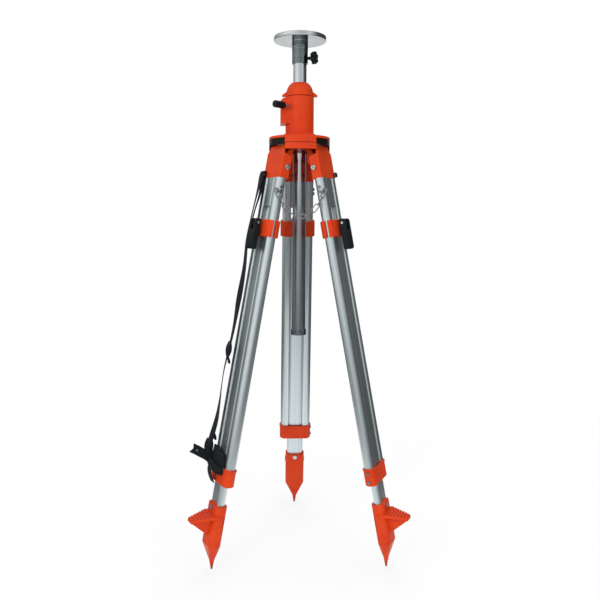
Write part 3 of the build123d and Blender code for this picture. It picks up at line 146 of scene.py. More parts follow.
@dataclass(frozen=True)
class Nodes:
    """Node tree of a material or of the world, in the making."""

    tree: bpy.types.NodeTree

    @classmethod
    def start(cls, owner: bpy.types.Material | bpy.types.World) -> "Nodes":
        """Empties the node tree of a material or of the world.

        Args:
            owner: The material or the world.

        Returns:
            Its empty node tree.
        """
        owner.use_nodes = True
        owner.node_tree.nodes.clear()
        return cls(owner.node_tree)

    def add(self, kind: str, inputs: Inputs | None = None) -> bpy.types.Node:
        """Adds a node with its settings and links.

        Args:
            kind: Node type, such as "ShaderNodeTexNoise".
            inputs: Values to set and sources to link, by input name, input number or attribute.

        Returns:
            The new node.
        """
        node = self.tree.nodes.new(kind)
        for key, value in (inputs or {}).items():
            if isinstance(value, Source):
                socket = value.outputs[0] if isinstance(value, bpy.types.Node) else value
                self.tree.links.new(socket, node.inputs[key])
            elif isinstance(key, int) or key in node.inputs:
                node.inputs[key].default_value = value
            else:
                setattr(node, key, value)
        return node

    def leg_coordinates(self, leg: LegName) -> Source:
        """Gives coordinates in metres in the frame of a leg.

        Args:
            leg: Which leg.

        Returns:
            Source of the coordinates.
        """
        inverse = STANCE.leg_matrix(leg).inverted()
        moved = {"Location": inverse.translation, "Rotation": inverse.to_euler("XYZ")}
        here = self.add("ShaderNodeTexCoord").outputs["Object"]
        return self.add("ShaderNodeMapping", {**moved, "Vector": here})

    def axis_distance(self, here: Source) -> Source:
        """Measures how far a place lies from the column's axis, in metres."""
        level = self.add("ShaderNodeVectorMath", {"operation": "MULTIPLY", 0: here, 1: (1, 1, 0)})
        return self.add("ShaderNodeVectorMath", {"operation": "LENGTH", 0: level}).outputs["Value"]

    def grain(self, here: Source, sizes_mm: Sequence[float], detail: float) -> Source:
        """Draws grains that have their own size along each axis.

        Args:
            here: Coordinates in metres.
            sizes_mm: Size of a grain along x, y and z.
            detail: How many finer layers lie on them.

        Returns:
            A pattern from 0 to 1, mostly between GRAIN_LOW and GRAIN_HIGH.
        """
        counts = tuple(1 / (size * MM) for size in sizes_mm)
        scaled = self.add("ShaderNodeVectorMath", {"operation": "MULTIPLY", 0: here, 1: counts})
        return self.add("ShaderNodeTexNoise", {"Scale": 1.0, "Detail": detail, "Vector": scaled})

    def spread(self, pattern: Source, low: float, high: float) -> Source:
        """Stretches a pattern of grains so that it runs from one value to another."""
        limits = {"From Min": GRAIN_LOW, "From Max": GRAIN_HIGH, "To Min": low, "To Max": high}
        return self.add("ShaderNodeMapRange", {**limits, "Value": pattern})

    def patch(self, share: Source, under: Colour, over: Colour) -> Source:
        """Lays one colour over another.

        Args:
            share: How much of the upper colour shows, from 0 to 1.
            under: The lower colour.
            over: The upper colour.

        Returns:
            Source of the colour.
        """
        pair = [linear(colour) if isinstance(colour, str) else colour for colour in (under, over)]
        mixed = {"data_type": "RGBA", 0: share, 6: pair[0], 7: pair[1]}
        return self.add("ShaderNodeMix", mixed).outputs[2]

    def tones(self, pattern: Source, dark: str, light: str) -> Source:
        """Colours a pattern of grains from a dark to a light tone."""
        return self.patch(self.spread(pattern, 0.0, 1.0), dark, light)

    def relief(self, pattern: Source, depth_mm: float, edge_mm: float = 0.0) -> Source:
        """Lets a pattern raise the surface, and rounds the edges a little.

        Args:
            pattern: The pattern that is raised.
            depth_mm: Height of the pattern.
            edge_mm: Radius of the edges, or 0 to leave them.

        Returns:
            Source of the direction that the surface faces.
        """
        raised = {"Strength": RELIEF_STRENGTH, "Distance": depth_mm * MM, "Height": pattern}
        if edge_mm:
            rounding = {"samples": EDGE_SAMPLES, "Radius": edge_mm * MM}
            raised["Normal"] = self.add("ShaderNodeBevel", rounding)
        return self.add("ShaderNodeBump", raised)


@dataclass(frozen=True)
class Finish:
    """A surface finish: one material, made the first time that it is asked for."""

    title: str

    def material(self) -> bpy.types.Material:
        """Makes or finds the material.

        Returns:
            The material of this finish.
        """
        found = bpy.data.materials.get(self.title)
        if found:
            return found
        made = bpy.data.materials.new(self.title)
        nodes = Nodes.start(made)
        shader = nodes.add("ShaderNodeBsdfPrincipled", self.shade(nodes))
        nodes.add("ShaderNodeOutputMaterial", {"Surface": shader})
        return made

    def shade(self, nodes: Nodes) -> Inputs:
        """Draws the patterns of the finish.

        Args:
            nodes: Node tree of the material.

        Returns:
            What the shader's inputs are set to or fed with.
        """
        raise NotImplementedError

    def dress(self, *objects: Piece) -> None:
        """Gives objects this finish in all their material slots.

        Args:
            *objects: The objects.
        """
        for piece in objects:
            piece.data.materials.clear()
            piece.data.materials.append(self.material())


@dataclass(frozen=True)
class PowderCoat(Finish):
    """Orange powder coat on die-cast aluminium, stoved.

    The eye sees an even red-orange with a satin shine, a faint orange-peel ripple, soft edges where
    the coat draws back, and slightly redder clouds. Some castings have a second colour in one place.
    """

    light: str = "#d9461c"
    dark: str = "#cb3816"
    second: str = "#111416"
    cloud_mm: Triple = (60.0, 60.0, 60.0)
    peel_mm: Triple = (2.4, 2.4, 2.4)
    peel_depth_mm: float = 0.05
    edge_mm: float = 0.9
    dull: float = 0.36
    shiny: float = 0.28
    shine: float = 0.13

    def shade(self, nodes: Nodes) -> Inputs:
        """Draws the coat's clouds, its ripple and its second colour.

        Args:
            nodes: Node tree of the material.

        Returns:
            What the shader's inputs are set to or fed with.
        """
        here = nodes.add("ShaderNodeTexCoord").outputs["Object"]
        cloud = nodes.grain(here, self.cloud_mm, detail=3.0)
        peel = nodes.grain(here, self.peel_mm, detail=1.0)
        colour = nodes.tones(cloud, self.dark, self.light)
        share = self.second_share(nodes, here)
        if share is not None:
            colour = nodes.patch(share, colour, self.second)
        return {
            "Base Color": colour,
            "Roughness": nodes.spread(cloud, self.dull, self.shiny),
            "Normal": nodes.relief(peel, self.peel_depth_mm, self.edge_mm),
            "Specular IOR Level": self.shine,
        }

    def second_share(self, nodes: Nodes, here: Source) -> Source | None:
        """Says how much of the second colour shows at a place.

        Args:
            nodes: Node tree of the material.
            here: Coordinates in metres.

        Returns:
            Source of the share from 0 to 1, or none on a plain coat.
        """
        return None


@dataclass(frozen=True)
class WornFootCoat(PowderCoat):
    """Powder coat on a foot, rubbed through to brown cast metal at the tip of its spike.

    The eye sees the orange break up over the last centimetre into a dull brown point.
    """

    second: str = "#6b3a24"
    worn_below_mm: float = 10.0
    ragged_mm: float = 14.0
    fade_mm: float = 6.0
    patch_mm: Triple = (5.0, 5.0, 9.0)
    worn_share: float = 0.9

    def second_share(self, nodes: Nodes, here: Source) -> Source | None:
        """Turns the coat brown towards the tip, with a ragged border.

        Args:
            nodes: Node tree of the material.
            here: Coordinates in metres.

        Returns:
            Source of the share from 0 to 1.
        """
        height = nodes.add("ShaderNodeSeparateXYZ", {"Vector": here}).outputs["Z"]
        patches = nodes.grain(here, self.patch_mm, detail=4.0)
        lifted = {"operation": "MULTIPLY_ADD", 0: patches, 1: 2 * self.ragged_mm * MM, 2: height}
        limit = self.worn_below_mm + self.ragged_mm
        border = {
            "From Min": (limit - self.fade_mm) * MM,
            "From Max": (limit + self.fade_mm) * MM,
            "To Min": self.worn_share,
            "To Max": 0.0,
            "Value": nodes.add("ShaderNodeMath", lifted),
        }
        return nodes.add("ShaderNodeMapRange", border)


@dataclass(frozen=True)
class PaintedShadeHousingCoat(PowderCoat):
    """Powder coat on the housing, with painted shade in near-black under its lip.

    The eye sees an orange lip and skirt, and between the parts of the skirt a dark block over each leg:
    painted shade for the hollow under the lip, above the leg's cap.
    """

    # Colour and bounds of the painted shade under the lip: below a level, between two distances from the
    # axis.
    second: str = "#191615"
    shade_top_mm: float = 995.4
    shade_start_mm: float = 42.0
    shade_end_mm: float = 74.3

    def second_share(self, nodes: Nodes, here: Source) -> Source | None:
        """Paints shade black under the lip, outside the hub and within the skirt's face.

        Args:
            nodes: Node tree of the material.
            here: Coordinates in metres.

        Returns:
            Source of the share from 0 to 1.
        """
        height = nodes.add("ShaderNodeSeparateXYZ", {"Vector": here}).outputs["Z"]
        radius = nodes.axis_distance(here)
        limits = (
            ("LESS_THAN", self.shade_top_mm, height),
            ("GREATER_THAN", self.shade_start_mm, radius),
            ("LESS_THAN", self.shade_end_mm, radius),
        )
        below, outside, within = (
            nodes.add("ShaderNodeMath", {"operation": test, 0: value, 1: limit * MM})
            for test, limit, value in limits
        )
        band = nodes.add("ShaderNodeMath", {"operation": "MULTIPLY", 0: outside, 1: within})
        return nodes.add("ShaderNodeMath", {"operation": "MULTIPLY", 0: below, 1: band})


@dataclass(frozen=True)
class ClampJawCoat(PowderCoat):
    """Powder coat on a clamp's outer jaw, with a black cam shoe on the boss between the lever's cheeks.

    The eye sees an orange band whose boss is as dark as the lever that turns round it.
    """

    leg: LegName = LegName.REAR
    shoe_start_mm: float = 19.5

    def second_share(self, nodes: Nodes, here: Source) -> Source | None:
        """Blackens the boss, which stands out of the jaw's face, in the leg's own coordinates.

        Args:
            nodes: Node tree of the material.
            here: Coordinates in metres.

        Returns:
            Source of the share from 0 to 1.
        """
        parts = nodes.add("ShaderNodeSeparateXYZ", {"Vector": nodes.leg_coordinates(self.leg)})
        beyond = {"operation": "GREATER_THAN", 0: parts.outputs["X"], 1: self.shoe_start_mm * MM}
        return nodes.add("ShaderNodeMath", beyond)


@dataclass(frozen=True)
class ExtrudedAluminium(Finish):
    """Extruded aluminium, satin anodised.

    The eye sees pale silver with die lines along the leg, and the light drawn out along them. The
    real lines are a few hundredths of a millimetre apart, and are drawn 0.9 mm apart so that they show.
    """

    leg: LegName = LegName.REAR
    light: str = "#e6f0f2"
    dark: str = "#c9d7da"
    line_mm: Triple = (0.9, 0.9, 400.0)
    line_depth_mm: float = 0.015
    band_mm: Triple = (7.0, 7.0, 900.0)
    dull: float = 0.42
    shiny: float = 0.32

    def shade(self, nodes: Nodes) -> Inputs:
        """Draws the die lines along the leg, and broader bands under them.

        Args:
            nodes: Node tree of the material.

        Returns:
            What the shader's inputs are set to or fed with.
        """
        here = nodes.leg_coordinates(self.leg)
        lines = nodes.grain(here, self.line_mm, detail=3.0)
        bands = nodes.grain(here, self.band_mm, detail=2.0)
        both = nodes.add("ShaderNodeMath", {"operation": "ADD", 0: lines, 1: bands})
        streaks = nodes.add("ShaderNodeMath", {"operation": "MULTIPLY", 0: both, 1: 0.5})
        return {
            "Base Color": nodes.tones(streaks, self.dark, self.light),
            "Roughness": nodes.spread(streaks, self.dull, self.shiny),
            "Normal": nodes.relief(lines, self.line_depth_mm),
            "Metallic": 1.0,
        }


@dataclass(frozen=True)
class ChromePlate(Finish):
    """Hard chrome on ground steel tube, polished.

    The eye sees a mirror with crisp upright streaks, dulled a little by wiping marks. Towards the
    lower end it is darkened by painted shade, and blurred by a rougher shine.
    """

    light: str = "#dde1e5"
    dark: str = "#c2c8cf"
    wipe_mm: Triple = (1.8, 1.8, 140.0)
    dull: float = 0.13
    shiny: float = 0.05
    # Painted shade darkens the lower column, from none at the first level to full at the second; the
    # surface is also rougher there.
    grease_start_mm: float = 1010.0
    grease_full_mm: float = 780.0
    grease: str = "#8f979a"
    grease_share: float = 0.9
    grease_dulling: float = 0.24

    def shade(self, nodes: Nodes) -> Inputs:
        """Draws the wiping marks, and the painted shade and rougher shine towards the lower end.

        Args:
            nodes: Node tree of the material.

        Returns:
            What the shader's inputs are set to or fed with.
        """
        here = nodes.add("ShaderNodeTexCoord").outputs["Object"]
        wipes = nodes.grain(here, self.wipe_mm, detail=4.0)
        rising = {
            "From Min": self.grease_start_mm * MM,
            "From Max": self.grease_full_mm * MM,
            "To Max": self.grease_share,
            "Value": nodes.add("ShaderNodeSeparateXYZ", {"Vector": here}).outputs["Z"],
        }
        # Share of painted shade, rising towards the lower end.
        film = nodes.add("ShaderNodeMapRange", rising)
        gloss = nodes.spread(wipes, self.dull, self.shiny)
        dulled = {"operation": "MULTIPLY_ADD", 0: film, 1: self.grease_dulling, 2: gloss}
        return {
            "Base Color": nodes.patch(film, nodes.tones(wipes, self.dark, self.light), self.grease),
            "Roughness": nodes.add("ShaderNodeMath", dulled),
            "Metallic": 1.0,
        }


@dataclass(frozen=True)
class TurnedMetal(Finish):
    """Metal turned on a lathe round the column's axis and polished.

    The eye sees fine rings round the axis that fan the light into bright and dark sectors, and, on the
    head plate, a boss of darker steel under a disc of bright aluminium.
    """

    light: str = "#dfe3e4"
    dark: str = "#b6bec0"
    steel_light: str = "#8b9596"
    steel_dark: str = "#5c6769"
    disc_bottom_mm: float = 1239.5
    ring_mm: Triple = (1.1, 1.1, 1.0)
    ring_depth_mm: float = 0.01
    dull: float = 0.2
    shiny: float = 0.1

    def shade(self, nodes: Nodes) -> Inputs:
        """Draws the turning rings on both metals.

        Args:
            nodes: Node tree of the material.

        Returns:
            What the shader's inputs are set to or fed with.
        """
        here = nodes.add("ShaderNodeTexCoord").outputs["Object"]
        height = nodes.add("ShaderNodeSeparateXYZ", {"Vector": here}).outputs["Z"]
        profile = nodes.add("ShaderNodeCombineXYZ", {"X": nodes.axis_distance(here), "Y": height})
        rings = nodes.grain(profile, self.ring_mm, detail=3.0)
        above = {"operation": "GREATER_THAN", 0: height, 1: self.disc_bottom_mm * MM}
        disc = nodes.add("ShaderNodeMath", above)
        steel = nodes.tones(rings, self.steel_dark, self.steel_light)
        return {
            "Base Color": nodes.patch(disc, steel, nodes.tones(rings, self.dark, self.light)),
            "Roughness": nodes.spread(rings, self.dull, self.shiny),
            "Normal": nodes.relief(rings, self.ring_depth_mm),
            "Metallic": 1.0,
        }


@dataclass(frozen=True)
class GrainedFinish(Finish):
    """A finish with clouds of colour, and a fine grain that sets its shine and its relief."""

    light: str = "#ffffff"
    dark: str = "#000000"
    cloud_mm: Triple = (1.0, 1.0, 1.0)
    grain_mm: Triple = (1.0, 1.0, 1.0)
    detail: float = 2.0
    dull: float = 0.5
    shiny: float = 0.5
    depth_mm: float = 0.0
    edge_mm: float = 0.0
    metallic: float = 1.0
    shine: float = 0.5

    def shade(self, nodes: Nodes) -> Inputs:
        """Draws the clouds and the grain.

        Args:
            nodes: Node tree of the material.

        Returns:
            What the shader's inputs are set to or fed with.
        """
        here = nodes.add("ShaderNodeTexCoord").outputs["Object"]
        cloud = nodes.grain(here, self.cloud_mm, self.detail)
        grain = nodes.grain(here, self.grain_mm, self.detail)
        return {
            "Base Color": nodes.tones(cloud, self.dark, self.light),
            "Roughness": nodes.spread(grain, self.dull, self.shiny),
            "Normal": nodes.relief(grain, self.depth_mm, self.edge_mm),
            "Metallic": self.metallic,
            "Specular IOR Level": self.shine,
        }


@dataclass(frozen=True)
class ZincPlate(GrainedFinish):
    """Bright zinc on cold-headed steel.

    The eye sees a blue-grey metal with a mottled shine and soft edges.
    """

    light: str = "#dfe3e6"
    dark: str = "#a9b0b6"
    cloud_mm: Triple = (3.0, 3.0, 3.0)
    grain_mm: Triple = (3.0, 3.0, 3.0)
    detail: float = 4.0
    dull: float = 0.34
    shiny: float = 0.2
    depth_mm: float = 0.02
    edge_mm: float = 0.5


@dataclass(frozen=True)
class MachinedMetal(GrainedFinish):
    """Milled and oiled metal, such as the steel of the gear or the bronze of the bushes.

    The eye sees close cutter marks under a thin film of oil.
    """

    light: str = "#8d9297"
    dark: str = "#5b6065"
    cloud_mm: Triple = (6.0, 6.0, 0.8)
    grain_mm: Triple = (6.0, 6.0, 0.8)
    detail: float = 3.0
    dull: float = 0.45
    shiny: float = 0.28
    depth_mm: float = 0.02
    edge_mm: float = 0.3


@dataclass(frozen=True)
class MouldedPlastic(GrainedFinish):
    """Glass-filled nylon, injection moulded in a spark-textured tool.

    The eye sees a deep black or a milky white with a fine even grain and a satin edge.
    """

    light: str = "#161d21"
    dark: str = "#0d1215"
    cloud_mm: Triple = (25.0, 25.0, 25.0)
    grain_mm: Triple = (0.9, 0.9, 0.9)
    dull: float = 0.5
    shiny: float = 0.34
    depth_mm: float = 0.04
    edge_mm: float = 0.8
    metallic: float = 0.0
    shine: float = 0.2


@dataclass(frozen=True)
class WovenWebbing(Finish):
    """Black polyamide webbing in a tight herringbone weave.

    The eye sees soft black bands with slanted ribs and a faint sheen. The ribs of the real weave are
    about 1 mm apart, and are drawn 2.6 mm apart so that they show.
    """

    light: str = "#1c2126"
    dark: str = "#080a0c"
    rib_mm: float = 2.6
    rib_share: float = 0.14
    rib_depth_mm: float = 1.0
    stripe_mm: float = 5.0
    fuzz_mm: Triple = (1.2, 1.2, 1.2)
    roughness: float = 0.8
    sheen: float = 0.04
    shine: float = 0.2

    def shade(self, nodes: Nodes) -> Inputs:
        """Draws the slanted ribs and the fuzz on them, in the left leg's frame.

        Args:
            nodes: Node tree of the material.

        Returns:
            What the shader's inputs are set to or fed with.
        """
        here = nodes.leg_coordinates(LegName.LEFT)
        parts = nodes.add("ShaderNodeSeparateXYZ", {"Vector": here}).outputs
        fuzz = nodes.grain(here, self.fuzz_mm, detail=3.0)
        steps = (
            {"operation": "PINGPONG", 1: self.stripe_mm * MM},
            {"operation": "ADD", 1: parts["Z"]},
            {"operation": "MULTIPLY", 1: 2 * math.pi / (self.rib_mm * MM)},
            {"operation": "SINE"},
            {"operation": "MULTIPLY_ADD", 1: self.rib_share, 2: fuzz},
        )
        weave = parts["Y"]
        for step in steps:
            weave = nodes.add("ShaderNodeMath", {**step, 0: weave})
        return {
            "Base Color": nodes.tones(weave, self.dark, self.light),
            "Normal": nodes.relief(weave, self.rib_depth_mm),
            "Roughness": self.roughness,
            "Sheen Weight": self.sheen,
            "Specular IOR Level": self.shine,
        }


ORANGE_COAT = PowderCoat("powder_coated_die_cast_aluminium")
FOOT_COAT = WornFootCoat("powder_coated_foot_worn_at_its_tip")
# The housing's coat carries painted shade under its lip.
HOUSING_COAT = PaintedShadeHousingCoat("powder_coated_housing_with_rubber_pads")
CHROME = ChromePlate("polished_hard_chrome")
TURNED = TurnedMetal("turned_polished_aluminium_and_steel")
ZINC = ZincPlate("bright_zinc_plated_steel")
GREY_ZINC = ZincPlate("weathered_zinc_plated_steel", light="#a4adb1", dark="#5c656a")
CHAIN_ZINC = ZincPlate("zinc_plated_chain_wire", light="#c4ccd0", dark="#80898e")
GEAR_STEEL = MachinedMetal("milled_oiled_steel")
BRONZE = MachinedMetal("machined_bearing_bronze", light="#c8924f", dark="#96642c")
BLACK_NYLON = MouldedPlastic("moulded_black_nylon")
WHITE_NYLON = MouldedPlastic("turned_white_nylon", light="#e9e6dd", dark="#d6d2c6", dull=0.58, shiny=0.42)
WEBBING = WovenWebbing("woven_black_webbing")
JAW_COAT = {leg: ClampJawCoat(f"powder_coated_{leg.prefix}_clamp_jaw", leg=leg) for leg in LegName}
LEG_METAL = {leg: ExtrudedAluminium(f"anodised_aluminium_{leg.prefix}_leg", leg=leg) for leg in LegName}


def rename(piece: Piece, name: str) -> Piece:
    """Gives a piece and its mesh a name.

    Args:
        piece: The piece.
        name: Its new name.

    Returns:
        The same piece.
    """
    piece.name = name
    piece.data.name = name
    return piece


def start_piece(name: str, add: Callable[..., object], **settings: object) -> Piece:
    """Adds a primitive, a lamp or a camera with nothing else selected.

    Args:
        name: Name of the new piece.
        add: Operator that adds it.
        **settings: What the operator is told.

    Returns:
        The new piece, selected and active.
    """
    bpy.ops.object.select_all(action="DESELECT")
    add(**settings)
    return rename(bpy.context.object, name)


def only(piece: Piece) -> None:
    """Selects one piece and makes it active.

    Args:
        piece: The piece.
    """
    bpy.ops.object.select_all(action="DESELECT")
    piece.select_set(True)
    bpy.context.view_layer.objects.active = piece


@contextmanager
def editing(piece: Piece) -> Iterator[None]:
    """Keeps a piece in edit mode while the lines under it run.

    Args:
        piece: The piece.
    """
    only(piece)
    bpy.ops.object.mode_set(mode="EDIT")
    yield
    bpy.ops.object.mode_set(mode="OBJECT")


def pick(piece: Piece, test: Callable[[Vector], bool]) -> None:
    """Selects the vertices of a piece in edit mode by their place.

    Args:
        piece: The piece, in edit mode.
        test: Says of a vertex's place whether it is selected.
    """
    mesh = bmesh.from_edit_mesh(piece.data)
    mesh.select_mode = {"VERT"}
    for vertex in mesh.verts:
        vertex.select_set(test(vertex.co))
    mesh.select_flush_mode()
    bmesh.update_edit_mesh(piece.data)


def drag(piece: Piece, here: Vector, target: Vector) -> None:
    """Moves the vertex of a piece in edit mode that lies at one place to another."""
    pick(piece, lambda co: (co - here).length < SAME_PLACE)
    bpy.ops.transform.translate(value=target - here)


def face_outward() -> None:
    """Turns all faces of the piece in edit mode outward."""
    bpy.ops.mesh.select_all(action="SELECT")
    bpy.ops.mesh.normals_make_consistent(inside=False)


def place(piece: Piece, matrix: Matrix) -> None:
    """Moves a piece's mesh by a matrix and leaves its object at the origin.

    Args:
        piece: The piece.
        matrix: Where its mesh goes.
    """
    only(piece)
    piece.matrix_world = matrix
    bpy.ops.object.transform_apply(location=True, rotation=True, scale=True)


def apply_modifier(piece: Piece, kind: str, **settings: object) -> None:
    """Adds a modifier to a piece and applies it.

    Args:
        piece: The piece.
        kind: Modifier type, such as "BEVEL".
        **settings: Attributes of the modifier.
    """
    only(piece)
    modifier = piece.modifiers.new(kind.lower(), kind)
    for key, value in settings.items():
        setattr(modifier, key, value)
    bpy.ops.object.modifier_apply(modifier=modifier.name)


def join(pieces: Sequence[Piece], name: str) -> Piece:
    """Joins pieces into the first one.

    Args:
        pieces: Pieces to join.
        name: Name of the result.

    Returns:
        The joined piece.
    """
    only(pieces[0])
    for piece in pieces[1:]:
        piece.select_set(True)
    bpy.ops.object.join()
    return rename(pieces[0], name)


def copy_piece(piece: Piece, matrix: Matrix) -> Piece:
    """Copies a piece with its own mesh and places the copy.

    Args:
        piece: The piece that is copied.
        matrix: Where the copy goes.

    Returns:
        The copy.
    """
    only(piece)
    bpy.ops.object.duplicate(linked=False)
    twin = bpy.context.object
    place(twin, matrix)
    return twin


def finish_piece(
    piece: Piece, finish: Finish, body: str | None, node: str | None, degrees: float
) -> None:
    """Shades and dresses a new piece, hangs it on the body that it rides with, and hides the node it
    replaces.

    Args:
        piece: The piece, in place.
        finish: Its finish.
        body: Body that it rides with, if only one.
        node: Node that it stands for, if any.
        degrees: Edges sharper than this stay sharp.
    """
    only(piece)
    bpy.ops.object.shade_smooth_by_angle(angle=math.radians(degrees))
    finish.dress(piece)
    if body:
        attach(piece, body)
    if node:
        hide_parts(node)
    LOG.info("%s built", piece.name)


def ribbon(name: str, rows: Sequence[tuple[Vector, Vector]], thickness_mm: float) -> Piece:
    """Models a flat strap by drawing its end edge out along a route.

    Args:
        name: Name of the strap.
        rows: Middle of each row, and half its width as a vector, in metres.
        thickness_mm: Thickness of the strap.

    Returns:
        The strap, with thickness and rounded edges.
    """
    strap = start_piece(name, bpy.ops.mesh.primitive_plane_add, size=2.0)
    with editing(strap):
        for number, (middle, half) in enumerate(rows[:2]):
            for side in (-1, 1):
                drag(strap, Vector((side, 2 * number - 1, 0.0)), middle + half * side)
        for (before, before_half), (middle, half) in zip(rows[1:], rows[2:]):
            ends = (before - before_half, before + before_half)
            pick(strap, lambda co: min((co - end).length for end in ends) < SAME_PLACE)
            bpy.ops.mesh.extrude_region_move(TRANSFORM_OT_translate={"value": middle - before})
            for side in (-1, 1):
                drag(strap, middle + before_half * side, middle + half * side)
        face_outward()
    apply_modifier(strap, "SOLIDIFY", thickness=thickness_mm * MM, offset=0.0)
    edge = STRAP_EDGE * thickness_mm * MM
    apply_modifier(strap, "BEVEL", width=edge, segments=2, limit_method="ANGLE")
    apply_modifier(strap, "SUBSURF", levels=2, render_levels=2)
    return strap


def block(name: str, sizes_mm: Sequence[float]) -> Piece:
    """Starts a piece as a block round the origin, which the caller shapes further.

    Args:
        name: Name of the piece.
        sizes_mm: Size along x, y and z.

    Returns:
        The block.
    """
    piece = start_piece(name, bpy.ops.mesh.primitive_cube_add, size=1.0)
    place(piece, Matrix.Diagonal((*(size * MM for size in sizes_mm), 1.0)))
    return piece


